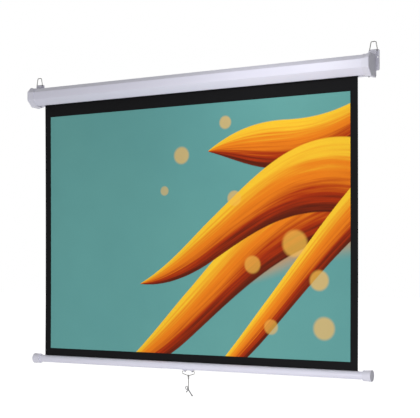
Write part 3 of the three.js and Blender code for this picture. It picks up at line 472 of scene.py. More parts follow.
# %% [markdown]
# The decoration is a short list: ribbons that lie far and soft, ribbons that lie near and crisp, and lights.
# Places and sizes are shares of the picture's height, so it would fill a screen of another size in the same
# way.

# %% Colours and tables of the picture
TEAL, TEAL_CLOUD = colour(101, 166, 166), colour(112, 177, 171)
YELLOW, ORANGE = colour(255, 204, 52), colour(240, 130, 28)
RUST, DARK_RUST = colour(176, 52, 16), colour(92, 32, 18)
FAR_TONE, LIGHT_TONE = colour(236, 150, 60), colour(255, 196, 84)
RIBBON_VALUES = ("Height", "Slope", "Swing", "Waves", "Phase", "Half_width", "Pinch", "Start", "Softness")
DISC_VALUES = ("Centre_X", "Centre_Y", "Radius", "Softness")
# Lengths are in picture heights, phases in radians and waves in radians for each picture height
FAR_RIBBONS = [
    (0.36, 0.16, 0.05, 5.0, 0.5, 0.075, 0.3, 0.75, 0.9),
    (0.02, 0.30, 0.06, 4.4, 2.4, 0.085, 0.3, 0.80, 0.9),
]
NEAR_RIBBONS = [
    (0.48, 0.34, 0.07, 5.2, 4.2, 0.075, 0.35, 0.78, 0.06),
    (-0.16, 0.52, 0.11, 3.9, 3.2, 0.125, 0.35, 0.34, 0.05),
    (0.30, 0.22, 0.12, 4.3, 2.7, 0.105, 0.40, 0.46, 0.05),
    (-0.62, 0.78, 0.10, 4.1, 1.6, 0.090, 0.35, 0.70, 0.05),
]
# The values of a disc, and how strongly it covers the ground
LIGHTS = [
    (0.66, 0.80, 0.040, 0.3, 0.55), (0.58, 0.66, 0.022, 0.3, 0.45), (0.86, 0.92, 0.030, 0.3, 0.55),
    (0.90, 0.62, 0.034, 0.25, 0.55), (1.16, 0.44, 0.060, 0.3, 0.60), (0.98, 0.36, 0.040, 0.3, 0.55),
    (1.26, 0.30, 0.045, 0.3, 0.60), (1.06, 0.12, 0.034, 0.3, 0.50), (1.28, 0.12, 0.050, 0.3, 0.55),
]
print(len(FAR_RIBBONS) + len(NEAR_RIBBONS), "ribbons and", len(LIGHTS), "lights")

# %% [markdown]
# Printed inks lie over one another, and so do the layers here: ground, far ribbons, near ribbons, lights. The
# streaks of a near ribbon are noise drawn out along it, and its shade runs from dark rust at one rim to
# yellow at the other.


# %% Painted picture
STREAK_LENGTH, STREAK_FINENESS, STREAK_DEPTH = 3.0, 16.0, 0.55
# Where each colour takes over across a ribbon
SHADES = [(0.02, 0.30, RUST), (0.22, 0.55, ORANGE), (0.55, 0.95, YELLOW)]
FAR_STRENGTH = 0.6
# The left of the cloth gets less light, and a slightly darker ground elsewhere evens out part of it
LESS_LIT, DARKER_ELSEWHERE = (0.0, 0.5), 0.10


def streaked(tree, x, across, shift):
    """A ribbon's colour: dark rust at one rim to yellow at the other, broken by streaks along it."""
    along_it = calc(tree, "MULTIPLY_ADD", x, STREAK_LENGTH, shift)
    across_it = calc(tree, "MULTIPLY", across, STREAK_FINENESS)
    place = add(tree, "ShaderNodeCombineXYZ", {0: along_it, 1: across_it})
    noise = add(tree, "ShaderNodeTexNoise", {"Vector": place.outputs[0], "Scale": 1.0, "Detail": 3.0})
    streaks = calc(tree, "MULTIPLY_ADD", noise.outputs[0], STREAK_DEPTH, -STREAK_DEPTH / 2)
    depth = calc(tree, "ADD", across, streaks)
    tone = DARK_RUST
    for low, high, next_tone in SHADES:
        tone = blended(tree, eased(tree, depth, low, high), tone, next_tone)
    return tone


def painted_picture(tree, x, y):
    """The picture's colour at a place given in picture heights."""
    drift = add(tree, "ShaderNodeCombineXYZ", {0: x, 1: y}).outputs[0]
    cloud = add(tree, "ShaderNodeTexNoise", {"Vector": drift, "Scale": 1.6, "Detail": 2.0}).outputs[0]
    evening = calc(tree, "MULTIPLY_ADD", eased(tree, x, *LESS_LIT), -DARKER_ELSEWHERE, 1.0)
    ground = scaled(tree, blended(tree, cloud, TEAL, TEAL_CLOUD), evening)
    for values in FAR_RIBBONS:
        band = use(tree, ribbon, X=x, Y=y, **dict(zip(RIBBON_VALUES, values)))
        ground = blended(tree, calc(tree, "MULTIPLY", band.outputs["Mask"], FAR_STRENGTH), ground, FAR_TONE)
    for values in NEAR_RIBBONS:
        named = dict(zip(RIBBON_VALUES, values))
        band = use(tree, ribbon, X=x, Y=y, **named)
        tone = streaked(tree, x, band.outputs["Across"], named["Phase"])
        ground = blended(tree, band.outputs["Mask"], ground, tone)
    for *values, strength in LIGHTS:
        spot = use(tree, disc, X=x, Y=y, **dict(zip(DISC_VALUES, values)))
        ground = blended(tree, calc(tree, "MULTIPLY", spot.outputs["Mask"], strength), ground, LIGHT_TONE)
    return ground


print("helpers made: streaked, painted_picture")

# %% [markdown]
# The front of the cloth is matt, so that the picture doesn't glare. Inside a thin soft line the coat carries
# the picture, and outside it is black. Each of the four sides gives a mask that is 0 beyond it, and their
# product is the picture's window.

# %% Cloth front
CLOTH_MAP = "flat_cloth"
SOFT_LINE = 0.6 * MM
WEAVE_TONE = 0.10
BLACK_ROUGHNESS, PICTURE_ROUGHNESS = 0.72, 0.84


def window(tree, across, upwards):
    """1 inside the picture area and 0 outside it."""
    mask = None
    for value, far in ((across, PICTURE_WIDTH), (upwards, PICTURE_HEIGHT)):
        for limit, way in ((0.0, 1), (far, -1)):
            inwards = calc(tree, "MULTIPLY", calc(tree, "SUBTRACT", value, limit), way)
            side = eased(tree, inwards, -SOFT_LINE, SOFT_LINE)
            mask = side if mask is None else calc(tree, "MULTIPLY", mask, side)
    return mask


front_coat, tree, shader = new_material("cloth_front", roughness=0.85, specular=0.08)
flat = add(tree, "ShaderNodeUVMap", uv_map=CLOTH_MAP).outputs[0]
across, upwards = add(tree, "ShaderNodeSeparateXYZ", {0: flat}).outputs[:2]
threads = use(tree, weave, Place=flat)
picture = painted_picture(tree, *(calc(tree, "DIVIDE", value, PICTURE_HEIGHT) for value in (across, upwards)))
shading = calc(tree, "MULTIPLY_ADD", threads.outputs["Shade"], WEAVE_TONE, 1 - WEAVE_TONE / 2)
picture = scaled(tree, picture, shading)
black = blended(tree, threads.outputs["Shade"], colour(14, 14, 15), colour(21, 21, 23))
mask = window(tree, across, upwards)
fill(tree, shader, {
    "Base Color": blended(tree, mask, black, picture),
    "Roughness": calc(tree, "MULTIPLY_ADD", mask, PICTURE_ROUGHNESS - BLACK_ROUGHNESS, BLACK_ROUGHNESS),
    "Normal": embossed(tree, threads.outputs["Height"], distance=0.00004, strength=0.5),
})
print("front coat has", len(tree.nodes), "nodes")

# %% [markdown]
# The back is the plain matt white of the base cloth. The weave lies in the plane of the cloth, so its place
# is turned upright.

# %% Cloth back
rear_coat, tree, shader = new_material("cloth_rear", roughness=0.85, specular=0.2)
place = add(tree, "ShaderNodeTexCoord").outputs["Object"]
upright = add(tree, "ShaderNodeMapping", {"Vector": place, "Rotation": (math.radians(90), 0, 0)}).outputs[0]
threads = use(tree, weave, Place=upright)
fill(tree, shader, {
    "Base Color": blended(tree, threads.outputs["Shade"], colour(222, 221, 217), colour(240, 239, 236)),
    "Normal": embossed(tree, threads.outputs["Height"], distance=0.00005, strength=0.5),
})
print("back of the cloth has", len(tree.nodes), "nodes")

# %% [markdown]
# The cord is grey twisted yarn. Its strands are in the mesh, so the finish only adds fibres that run along it
# and a soft sheen at grazing angles.

# %% Yarn
FIBRE_STRENGTH = 0.5
yarn, tree, shader = new_material("grey_yarn", roughness=0.85, specular=0.2)
fibres = use(tree, speckle, Cloud_size=0.006, Grain_size=0.0003, Stretch=(1, 1, 0.3))
tone = blended(tree, fibres.outputs["Cloud"], colour(146, 145, 143), colour(178, 177, 175))
fibre_share = calc(tree, "MULTIPLY", fibres.outputs["Grain"], FIBRE_STRENGTH)
tone = blended(tree, fibre_share, tone, colour(126, 125, 123))
fill(tree, shader, {
    "Base Color": tone,
    "Sheen Weight": 0.25,
    "Normal": embossed(tree, fibres.outputs["Grain"], distance=0.00012, strength=0.6),
})
print("yarn has", len(tree.nodes), "nodes")

# %% [markdown]
# From here on the lesson makes shapes. Most of them are rings of points joined by quads: a tube is the same
# ring moved along a line, a cap is a ring that grows and shrinks, and a turned piece is a ring of turned
# points. One helper joins the rings, which keeps each piece one clean closed mesh.


# %% Solids from rings
SAME_POINT = 0.001 * MM


def joined_rings(rings, loop=False):
    """Points and faces of rings joined by quads, with a face at each end or closed into a loop."""
    count = len(rings[0])
    points = [tuple(p) for ring in rings for p in ring]
    faces = []
    last = len(rings) if loop else len(rings) - 1
    for r in range(last):
        here, there = r * count, (r + 1) % len(rings) * count
        for i in range(count):
            j = (i + 1) % count
            faces.append((here + i, here + j, there + j, there + i))
    if not loop:
        faces.append(tuple(range(count))[::-1])
        faces.append(tuple(range((len(rings) - 1) * count, len(rings) * count)))
    return points, faces


def solid_of(name, rings, loop=False, move=None):
    """The mesh of joined rings, with its faces pointing out."""
    points, faces = joined_rings(rings, loop)
    mesh = bpy.data.meshes.new(name)
    mesh.from_pydata(points, [], faces)
    shape = bmesh.new()
    shape.from_mesh(mesh)
    bmesh.ops.remove_doubles(shape, verts=shape.verts, dist=SAME_POINT)
    if move is not None:
        bmesh.ops.transform(shape, matrix=move, verts=shape.verts)
    bmesh.ops.recalc_face_normals(shape, faces=shape.faces)
    shape.to_mesh(mesh)
    shape.free()
    return mesh


print("two rings of four points give", len(joined_rings([[(0, 0, 0)] * 4] * 2)[1]), "faces")

# %% [markdown]
# A finished piece rides on a body of the frame and stands for the plain nodes that it replaces. Its faces
# are smooth and only edges sharper than an angle stay crisp, which costs no extra faces.


# %% Finished pieces
def dressed(name, mesh, material, body, stands_for=(), sharp=35):
    """The finished piece: it rides on a body, stands for its nodes and is smooth but for its sharp edges."""
    mesh.polygons.foreach_set("use_smooth", [True] * len(mesh.polygons))
    mesh.set_sharp_from_angle(angle=math.radians(sharp))
    if material is not None:
        mesh.materials.clear()
        mesh.materials.append(material)
    piece = placed(name, mesh)
    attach(piece, body)
    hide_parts(*stands_for)
    print(name, "has", len(mesh.polygons), "faces")
    return piece


print("helper made: dressed")

# %% [markdown]
# Cord and wire are a section carried along a line. The line runs smoothly through a few points, and the
# section turns as little as it can from step to step, so nothing twists by accident. A curve object could do
# the same, but it keeps one shape of section all the way.


# %% Lines and tubes
def along(points, steps):
    """A smooth line through points, with a number of steps between each pair."""
    line = []
    for i in range(len(points) - 1):
        a, b = points[max(i - 1, 0)], points[i]
        c, d = points[i + 1], points[min(i + 2, len(points) - 1)]
        for k in range(steps):
            t = k / steps
            square, cube = 2 * a - 5 * b + 4 * c - d, 3 * b - a - 3 * c + d
            line.append(0.5 * (2 * b + (c - a) * t + square * t**2 + cube * t**3))
    return line + [points[-1].copy()]


def tube(path, section):
    """Rings of a section carried along a path without twist. The section may change with the step."""
    rings = []
    heading = (path[1] - path[0]).normalized()
    across = heading.orthogonal().normalized()
    for i, place in enumerate(path):
        before, after = path[max(i - 1, 0)], path[min(i + 1, len(path) - 1)]
        ahead = (after - before).normalized()
        across = heading.rotation_difference(ahead) @ across
        heading = ahead
        upwards = heading.cross(across)
        points = section(i) if callable(section) else section
        rings.append([place + across * p.x + upwards * p.y for p in points])
    return rings


print("three points in two steps each give", len(along([Vector((0, 0, i)) for i in range(3)], 2)), "points")

# %% [markdown]
# The cord is short: a bight round the dip of the handle, a knot, 33 mm of twisted cord and a moulded end
# piece with a ring, a spur and a barb. It hangs almost straight. A ring with three lobes, turned a little at
# each step, makes the three twisted strands.

# %% Cord
CORD_ROUTE = [
    (0.0, 0.0, 0.0), (0.07, 0.0, -2.5), (0.18, 0.0, -5.5), (0.30, -0.08, -8.5),
    (0.38, -0.16, -11.5), (0.40, -0.22, -14.5), (0.35, -0.28, -18.0), (0.25, -0.30, -21.5),
    (0.08, -0.25, -25.0), (-0.08, -0.14, -28.5), (-0.2, 0.0, -33.0),
]
CORD_RADIUS = 1.8 * MM
CORD_LAY = 10 * MM
STRANDS = 3
GROOVE_SHARE = 0.20
RING_POINTS, ROUTE_STEPS = 36, 3
knot_low, knot_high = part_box("cord_knot")
sheet_low, sheet_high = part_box("screen_cloth")
cloth_y = (sheet_low.y + sheet_high.y) / 2
cord_exit = Vector((0.0, cloth_y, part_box("pull_cord")[1].z))
cord_path = along([cord_exit + Vector(p) * MM for p in CORD_ROUTE], ROUTE_STEPS)
cord_step = (cord_path[0] - cord_path[-1]).length / (len(cord_path) - 1)


def strand_section(step):
    """The cord's section at a step: a ring with one lobe for each strand, turned by the lay."""
    turn = 2 * math.pi * step * cord_step / CORD_LAY
    ring = []
    for angle in [2 * math.pi * i / RING_POINTS for i in range(RING_POINTS)]:
        lobe = abs(math.cos(STRANDS * (angle - turn) / 2))
        reach = 1 - GROOVE_SHARE + GROOVE_SHARE * lobe
        ring.append(Vector((math.cos(angle), math.sin(angle))) * CORD_RADIUS * reach)
    return ring


cord = dressed(
    "twisted_cord", solid_of("twisted_cord", tube(cord_path, strand_section)),
    yarn, "cord", ["pull_cord"], sharp=80,
)

# %% [markdown]
# Where pieces grow out of one another a boolean joins them, and it also cuts the holes. Faces that only just
# meet leave slivers, which are merged away at once. Modelling each joint by hand would give neater faces, but
# it would have to be done again for each change of size.


# %% Joining and cutting
SLIVER = 0.002 * MM


def applied(thing):
    """The mesh of an object with its modifiers applied. The object itself goes."""
    graph = bpy.context.evaluated_depsgraph_get()
    made = bpy.data.meshes.new_from_object(thing.evaluated_get(graph))
    made.name = thing.data.name
    bpy.data.objects.remove(thing)
    return made


def combined(mesh, other, operation="UNION"):
    """A mesh with another one joined to it or cut from it, without slivers where they only just meet."""
    base, tool = placed("base", mesh), placed("tool", other)
    modifier = base.modifiers.new("combine", "BOOLEAN")
    modifier.operation = operation
    modifier.solver = "EXACT"
    modifier.object = tool
    made = applied(base)
    bpy.data.objects.remove(tool)
    shape = bmesh.new()
    shape.from_mesh(made)
    bmesh.ops.remove_doubles(shape, verts=shape.verts, dist=SLIVER)
    bmesh.ops.dissolve_degenerate(shape, dist=SLIVER, edges=shape.edges)
    shape.to_mesh(made)
    shape.free()
    return made


print("helpers made: applied, combined")

# %% [markdown]
# A bight is the cord led round the handle's wire and back, here a plain ring. The knot below it is one strand
# wound round the cord: a helix of open turns over a slim core, drawn in at both ends. Joined, they are one
# mesh.

# %% Knot
LOOP_RADIUS, LOOP_WIRE = 3.6 * MM, 1.4 * MM
WRAP_WIRE, WRAP_REACH = 1.0 * MM, 2.1 * MM
WRAP_TURNS, WRAP_STEPS, WRAP_DRAWN_IN, DRAWN_IN_POWER = 2.3, 60, 0.35, 6
CORE_RADIUS, CORE_END = 1.4 * MM, 1.0 * MM
CORE_FOOT, CORE_SHOULDER, CORE_OVERLAP = 0.5 * MM, 0.6 * MM, 0.3 * MM
CIRCLE_POINTS, KNOB_POINTS, BIGHT_STEPS = 12, 20, 24


def circle(radius, steps=CIRCLE_POINTS):
    """A round section."""
    turns = [2 * math.pi * i / steps for i in range(steps)]
    return [Vector((radius * math.cos(t), radius * math.sin(t))) for t in turns]


bight_centre = Vector((0, cloth_y, knot_high.z - LOOP_RADIUS - LOOP_WIRE))
bight_section = circle(LOOP_WIRE)
bight_rings = []
for i in range(BIGHT_STEPS):
    t = 2 * math.pi * i / BIGHT_STEPS
    outward = math.cos(t) * Vector((0, 1, 0)) + math.sin(t) * Vector((0, 0, 1))
    bight_rings.append([bight_centre + outward * (LOOP_RADIUS + p.x) + Vector((p.y, 0, 0))
                        for p in bight_section])
knot_top = bight_centre.z - LOOP_RADIUS
wrap_height = knot_top - knot_low.z - 2 * WRAP_WIRE
wrap_path = []
for i in range(WRAP_STEPS + 1):
    share = i / WRAP_STEPS
    turn = 2 * math.pi * WRAP_TURNS * share
    reach = WRAP_REACH * (1 - WRAP_DRAWN_IN * abs(2 * share - 1) ** DRAWN_IN_POWER)
    wrap_path.append(Vector((reach * math.cos(turn), cloth_y + reach * math.sin(turn),
                             knot_low.z + WRAP_WIRE + wrap_height * share)))
core_profile = [(CORE_END, knot_low.z), (CORE_RADIUS, knot_low.z + CORE_FOOT),
                (CORE_RADIUS, knot_top - CORE_SHOULDER), (CORE_END, knot_top + CORE_OVERLAP)]
core_rings = [[Vector((p.x, cloth_y + p.y, z)) for p in circle(radius, KNOB_POINTS)]
              for radius, z in core_profile]
knot_mesh = solid_of("cord_knot_yarn", bight_rings, loop=True)
knot_mesh = combined(knot_mesh, solid_of("core", core_rings))
knot_mesh = combined(knot_mesh, solid_of("wrap", tube(wrap_path, circle(WRAP_WIRE))))
knot = dressed("yarn_knot", knot_mesh, yarn, "cord", ["cord_knot"], sharp=60)

# %% [markdown]
# Bent wire and pressed sheet have even bends. A line is drawn by its corners, and each corner becomes an arc,
# in the plane or in space. A bend takes at most a little less than half of a side, so that two bends never
# meet.


# %% Bends
SIDE_PARTS = 2.02
BEND_STEPS = 8


def bent(corners, radius, steps, closed=True):
    """A line through corners, with each corner turned into an even bend."""
    bends = []
    count = len(corners)
    for i, corner in enumerate(corners):
        if not closed and i in (0, count - 1):
            bends.append(corner.copy())
            continue
        before = corners[i - 1] - corner
        after = corners[(i + 1) % count] - corner
        half_turn = before.angle(after) / 2
        setback = min(radius / math.tan(half_turn), before.length / SIDE_PARTS, after.length / SIDE_PARTS)
        bend = setback * math.tan(half_turn)
        middle = corner + (before.normalized() + after.normalized()).normalized() * bend / math.sin(half_turn)
        start = corner + before.normalized() * setback - middle
        end = corner + after.normalized() * setback - middle
        sweep = start.angle(end)
        for k in range(steps + 1):
            share = k / steps
            way = (math.sin((1 - share) * sweep) * start + math.sin(share * sweep) * end) / math.sin(sweep)
            bends.append(middle + way)
    return bends


square_line = [Vector(corner) for corner in ((0, 0), (1, 0), (1, 1), (0, 1))]
print("a square with bends of three steps has", len(bent(square_line, 0.1, 3)), "points")

# %% [markdown]
# The end piece is one moulding: an oval ring beside the cord's end, an arm that runs from the ring through
# the neck to a barb, and a shorter spur that crosses it. The ring comes first, and the arms bend where they
# cross.

# %% Ring of the hook
RING_HALF_WIDTH, RING_HALF_HEIGHT, RING_WIRE = 4.2 * MM, 5.8 * MM, 1.3 * MM
RING_RISE, CORD_GAP, RING_STEPS = 6.4 * MM, 0.3 * MM, 40
HOOK_NECK = 5.2 * MM
hook_top = cord_path[-1].copy()


def beside(x, z):
    """A place beside the cord's end, in the plane of the hook."""
    return hook_top + Vector((x, 0, z))


ring_centre = beside(-CORD_RADIUS - CORD_GAP - RING_WIRE - RING_HALF_WIDTH, RING_RISE - HOOK_NECK)
ring_rings = []
for i in range(RING_STEPS):
    t = 2 * math.pi * i / RING_STEPS
    centre = ring_centre + Vector((RING_HALF_WIDTH * math.cos(t), 0, RING_HALF_HEIGHT * math.sin(t)))
    outward = Vector((RING_HALF_HEIGHT * math.cos(t), 0, RING_HALF_WIDTH * math.sin(t))).normalized()
    ring_rings.append([centre + outward * p.x + Vector((0, p.y, 0)) for p in circle(RING_WIRE)])
hook_mesh = solid_of("moulded_hook", ring_rings, loop=True)
print("the ring has", len(hook_mesh.polygons), "faces")

# %% [markdown]
# The arms are round and get a little slimmer towards their tips. The barb at the end of the long one is
# turned about its own upright axis, like all small knobs and heads in this lesson.

# %% Arms and barb of the hook
ARM_RADIUS, ARM_OUT, ARM_DROP = 2.2 * MM, 15.5 * MM, 20.5 * MM
SPUR_RADIUS, SPUR_OUT, SPUR_DROP = 2.0 * MM, 9 * MM, 9.5 * MM
ARM_BEND, TIP_SHARE, FOOT_SHARE = 6 * MM, 0.95, 0.7
BARB = 2.9 * MM
WIRE_POINTS = 16


def turned(profile, steps):
    """Rings of a profile of (radius, height) pairs turned about an upright axis."""
    return [[Vector((p.x, p.y, height)) for p in circle(radius, steps)] for radius, height in profile]


def tapered_arm(corners, radius):
    """A round arm bent through its corners."""
    path = bent(corners, ARM_BEND, BEND_STEPS, closed=False)
    last = len(path) - 1

    def section(step):
        return circle(radius * (1 + (TIP_SHARE - 1) * step / last), WIRE_POINTS)

    return solid_of("arm", tube(path, section))


crossing = beside(0, -HOOK_NECK)
barb_place = beside(ARM_OUT, -HOOK_NECK - ARM_DROP)
ring_foot = ring_centre + Vector((RING_HALF_WIDTH * FOOT_SHARE, 0, -RING_HALF_HEIGHT * FOOT_SHARE))
spur_tip = beside(-SPUR_OUT, -HOOK_NECK - SPUR_DROP)
barb_profile = [
    (0.5 * MM, BARB * 0.98), (1.7 * MM, BARB * 0.86), (2.5 * MM, BARB * 0.5), (BARB, 0.0),
    (2.5 * MM, -BARB * 0.5), (1.7 * MM, -BARB * 0.82), (0.5 * MM, -BARB * 0.98),
]
for part in (
    tapered_arm([ring_foot, crossing, barb_place], ARM_RADIUS),
    tapered_arm([beside(0, -CORD_GAP), crossing, spur_tip], SPUR_RADIUS),
    solid_of("barb", turned(barb_profile, KNOB_POINTS), move=Matrix.Translation(barb_place)),
):
    hook_mesh = combined(hook_mesh, part)
hook = dressed("moulded_hook", hook_mesh, hook_plastic, "cord", ["cord_hook"], sharp=50)

# %% [markdown]
# Cord, knot and hook now move as one. Where the cord leaves its knot and where it ends are printed.

# %% What the cord is
print(f"cord leaves its knot at {cord_exit.z:.4f} m and ends at {hook_top.z:.4f} m")

# %% [markdown]
# The case is one strip of sheet metal, rolled into six sides and turned in at the slot. A drawn outline gives
# both the outer and the inner face, and each is carried along the case. Subdividing a box would round every
# corner alike, where sheet metal has flat sides and small bends.

# %% Case outline
TOP_RISE, TOP_RUN = 16 * MM, 17 * MM
LOWER_RISE, LOWER_RUN = 21.5 * MM, 24 * MM
SHEET_BEND_STEPS = 4
CASE_WALL, CASE_BEND, CASE_INNER_BEND = 1.4 * MM, 2.4 * MM, 1.0 * MM
SLOT, SLOT_LIP = 14 * MM, 4.5 * MM
case_low, case_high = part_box("case_tube")
case_outline = [
    Vector((case_high.y, case_low.z)),
    Vector((case_high.y, case_high.z)),
    Vector((case_low.y + TOP_RUN, case_high.z)),
    Vector((case_low.y, case_high.z - TOP_RISE)),
    Vector((case_low.y, case_low.z + LOWER_RISE)),
    Vector((case_low.y + LOWER_RUN, case_low.z)),
]


def grown(outline, distance):
    """A convex outline that runs anticlockwise, with each side moved outwards."""
    moved = []
    for i, corner in enumerate(outline):
        side_in = (corner - outline[i - 1]).normalized()
        side_out = (outline[(i + 1) % len(outline)] - corner).normalized()
        normal_in = Vector((side_in.y, -side_in.x))
        normal_out = Vector((side_out.y, -side_out.x))
        reach = distance / (1 + normal_in.dot(normal_out))
        moved.append(corner + reach * (normal_in + normal_out))
    return moved


def side_view(x, outline):
    """An outline drawn in depth and height, set at a place along the screen's width."""
    return [Vector((x, p.x, p.y)) for p in outline]


def drawn_out(name, outline, ends):
    """The solid of a side view carried from one end to the other."""
    return solid_of(name, [side_view(x, outline) for x in ends])


print(f"case {(case_high.y - case_low.y) / MM:.1f} mm deep and {(case_high.z - case_low.z) / MM:.1f} mm tall")

# %% [markdown]
# The strip starts at the slot's rear lip, runs round the outside, turns in at the front lip and comes back
# round the inside. So the case is a real thin wall, with a real slot for the cloth.


# %% Case
def case_section():
    """The strip's outline, from the slot's rear lip round the outside and back round the inside."""
    rear, front = cloth_y + SLOT / 2, cloth_y - SLOT / 2
    lip, floor = case_low.z + SLOT_LIP, case_low.z + CASE_WALL
    outer = [Vector((rear, case_low.z)), *case_outline, Vector((front, case_low.z)), Vector((front, lip))]
    inner = [Vector((rear + CASE_WALL, floor)), *grown(case_outline, -CASE_WALL),
             Vector((front - CASE_WALL, floor)), Vector((front - CASE_WALL, lip))]
    inside = [Vector((rear + CASE_WALL, lip))] + bent(inner, CASE_INNER_BEND, SHEET_BEND_STEPS, closed=False)
    outside = [Vector((rear, lip))] + bent(outer, CASE_BEND, SHEET_BEND_STEPS, closed=False)
    return outside + inside[::-1]


case_mesh = drawn_out("enamel_case", case_section(), (case_low.x, case_high.x))
dressed("enamel_case", case_mesh, enamel, "case", ["case_tube"])

# %% [markdown]
# Each cap is moulded plastic: a collar over the case that flares to the end face, a wall plate, a hinge lug
# for the wire loop and two bosses inside. Each part of it is made by itself and joined on, and then the holes
# are cut. The sizes come first, worked out from the case and from the frame's own cap.

# %% Sizes of the end caps
CAP_OVER = 5 * MM
CAP_CORNER = 6 * MM
CAP_WALL, COLLAR, FIT = 4 * MM, 1.8 * MM, 0.3 * MM
PLATE_THICK, PLATE_CORNER, PLATE_DROP = 4 * MM, 5 * MM, 52 * MM
PLATE_HOLE, PLATE_HOLE_DROP = 2.6 * MM, 8 * MM
KNUCKLE, KNUCKLE_LENGTH = 4.2 * MM, 22 * MM
LOOP_BORE, SCREW_BORE = 1.9 * MM, 1.7 * MM
AXIS_BEHIND_FRONT = 22.5 * MM
cap_low, cap_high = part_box("end_cap_right")
cap_start, plate_end = cap_low.x, cap_high.x
cap_end = case_high.x + FIT + CAP_WALL
cap_top = case_high.z + CAP_OVER
knuckle_y, knuckle_z = -6.5 * MM, -28.5 * MM
loop_x = (cap_start + plate_end) / 2
axis_y = case_low.y + AXIS_BEHIND_FRONT
axis_z = (case_low.z + case_high.z) / 2
BOSS_REACH, BOSS_RADIUS, BOSS_LENGTH = 14 * MM, 4.5 * MM, 8 * MM
print(f"cap {(cap_end - cap_start) / MM:.1f} mm long, its plate {(plate_end - cap_end) / MM:.1f} mm further")

# %% [markdown]
# The plate is rings of one rounded outline. The last rings are drawn in a little, which gives the front edge
# the soft rim that a mould leaves.

# %% Wall plate
PLATE_SOFT, SOFT_SHARE, PLATE_BEND_STEPS = 0.8 * MM, 0.3, 6


def plate_shape():
    """The wall plate, with rounded corners and a softened front edge."""
    foot = cap_top - PLATE_DROP
    corners = [Vector((cap_start, foot)), Vector((plate_end, foot)),
               Vector((plate_end, cap_high.z)), Vector((cap_start, cap_high.z))]
    half_soft = PLATE_SOFT * SOFT_SHARE
    depths = [(0.0, 0.0), (PLATE_SOFT - PLATE_THICK, 0.0), (half_soft - PLATE_THICK, half_soft),
              (-PLATE_THICK, PLATE_SOFT)]
    rings = []
    for y, inset in depths:
        line = bent(grown(corners, -inset), PLATE_CORNER - inset, PLATE_BEND_STEPS)
        rings.append([Vector((p.x, y, p.y)) for p in line])
    return solid_of("plate", rings)


plate = plate_shape()
print("the plate has", len(plate.polygons), "faces")

# %% [markdown]
# The lug has straight sides under a round barrel, and its foot stands in the collar, so that no gap is left
# between them.


# %% Hinge lug
def arc(centre, radius, start, end, steps):
    """Points of a plane arc, with its angles in radians."""
    turns = [start + (end - start) * i / steps for i in range(steps + 1)]
    return [Vector((centre[0] + radius * math.cos(t), centre[1] + radius * math.sin(t))) for t in turns]


LUG_SOFT, LUG_STEPS = 0.7 * MM, 14


def lug_shape():
    """The hinge lug: straight sides under a round barrel."""
    foot = case_high.z + COLLAR / 2
    line = arc((knuckle_y, knuckle_z), KNUCKLE, 0, math.pi, LUG_STEPS)
    line += [Vector((knuckle_y - KNUCKLE, foot)), Vector((knuckle_y + KNUCKLE, foot))]
    half = KNUCKLE_LENGTH / 2
    places = [(-half, LUG_SOFT), (LUG_SOFT - half, 0.0), (half - LUG_SOFT, 0.0), (half, LUG_SOFT)]
    return solid_of("lug", [side_view(loop_x + x, grown(line, -inset)) for x, inset in places])


lug = lug_shape()
print("the lug has", len(lug.polygons), "faces")

# %% [markdown]
# The collar is rings of the case's own outline, grown step by step, so it follows the case exactly: thin over
# the case, then flaring to a rim and in again to the end face. The bore is the same outline with a small
# clearance.

# %% Collar and end face
CAP_BORE_CORNER, CAP_BEND_STEPS = 2.0 * MM, 5


def cap_ring(x, over, corner):
    """The case's outline, grown and with rounded corners, at a place along the case."""
    return side_view(x, bent(grown(case_outline, over), corner, CAP_BEND_STEPS))


def collar_shape():
    """The collar with its flare and end face, open towards the case."""
    length = cap_end - cap_start
    # Place along the cap, growth and corner
    outside = [
        (0.0, COLLAR - 0.4 * MM, 2.5 * MM), (0.12 * MM, COLLAR - 0.12 * MM, 2.7 * MM),
        (0.4 * MM, COLLAR, 2.8 * MM), (9.4 * MM, COLLAR, 2.8 * MM), (11.2 * MM, 2.05 * MM, 3.0 * MM),
        (14 * MM, 2.8 * MM, 3.8 * MM), (17 * MM, 3.75 * MM, 4.7 * MM), (19.6 * MM, 4.65 * MM, 5.6 * MM),
        (21.4 * MM, CAP_OVER, CAP_CORNER), (24.6 * MM, CAP_OVER, CAP_CORNER),
        (25.7 * MM, 4.7 * MM, 5.7 * MM), (26.5 * MM, 4.0 * MM, 5.2 * MM),
        (length - 0.1 * MM, 3.2 * MM, 4.8 * MM), (length, 2.6 * MM, 4.5 * MM),
        (length, -1.0 * MM, 3.4 * MM), (length - 0.8 * MM, -1.8 * MM, 3.0 * MM),
    ]
    bore = [cap_ring(case_high.x + FIT, FIT, CAP_BORE_CORNER), cap_ring(cap_start, FIT, CAP_BORE_CORNER)]
    rings = bore + [cap_ring(cap_start + x, over, corner) for x, over, corner in outside]
    return solid_of("cap_moulding", rings)


collar = collar_shape()
print("the collar has", len(collar.polygons), "faces")

# %% [markdown]
# Now the parts become one cap. Rods make the bosses and cut the bores: for the bearing's screws, the loop,
# the wall screw, and the two screws that hold the collar. The left cap is the right one mirrored, as a second
# mould would be.


# %% End caps
SCREW_OVERRUN = 2 * MM
TURNED_POINTS = 24


def rod(radius, start, end):
    """A plain rod between two points, used to join or cut."""
    return solid_of("rod", tube([Vector(start), Vector(end)], circle(radius, TURNED_POINTS)))


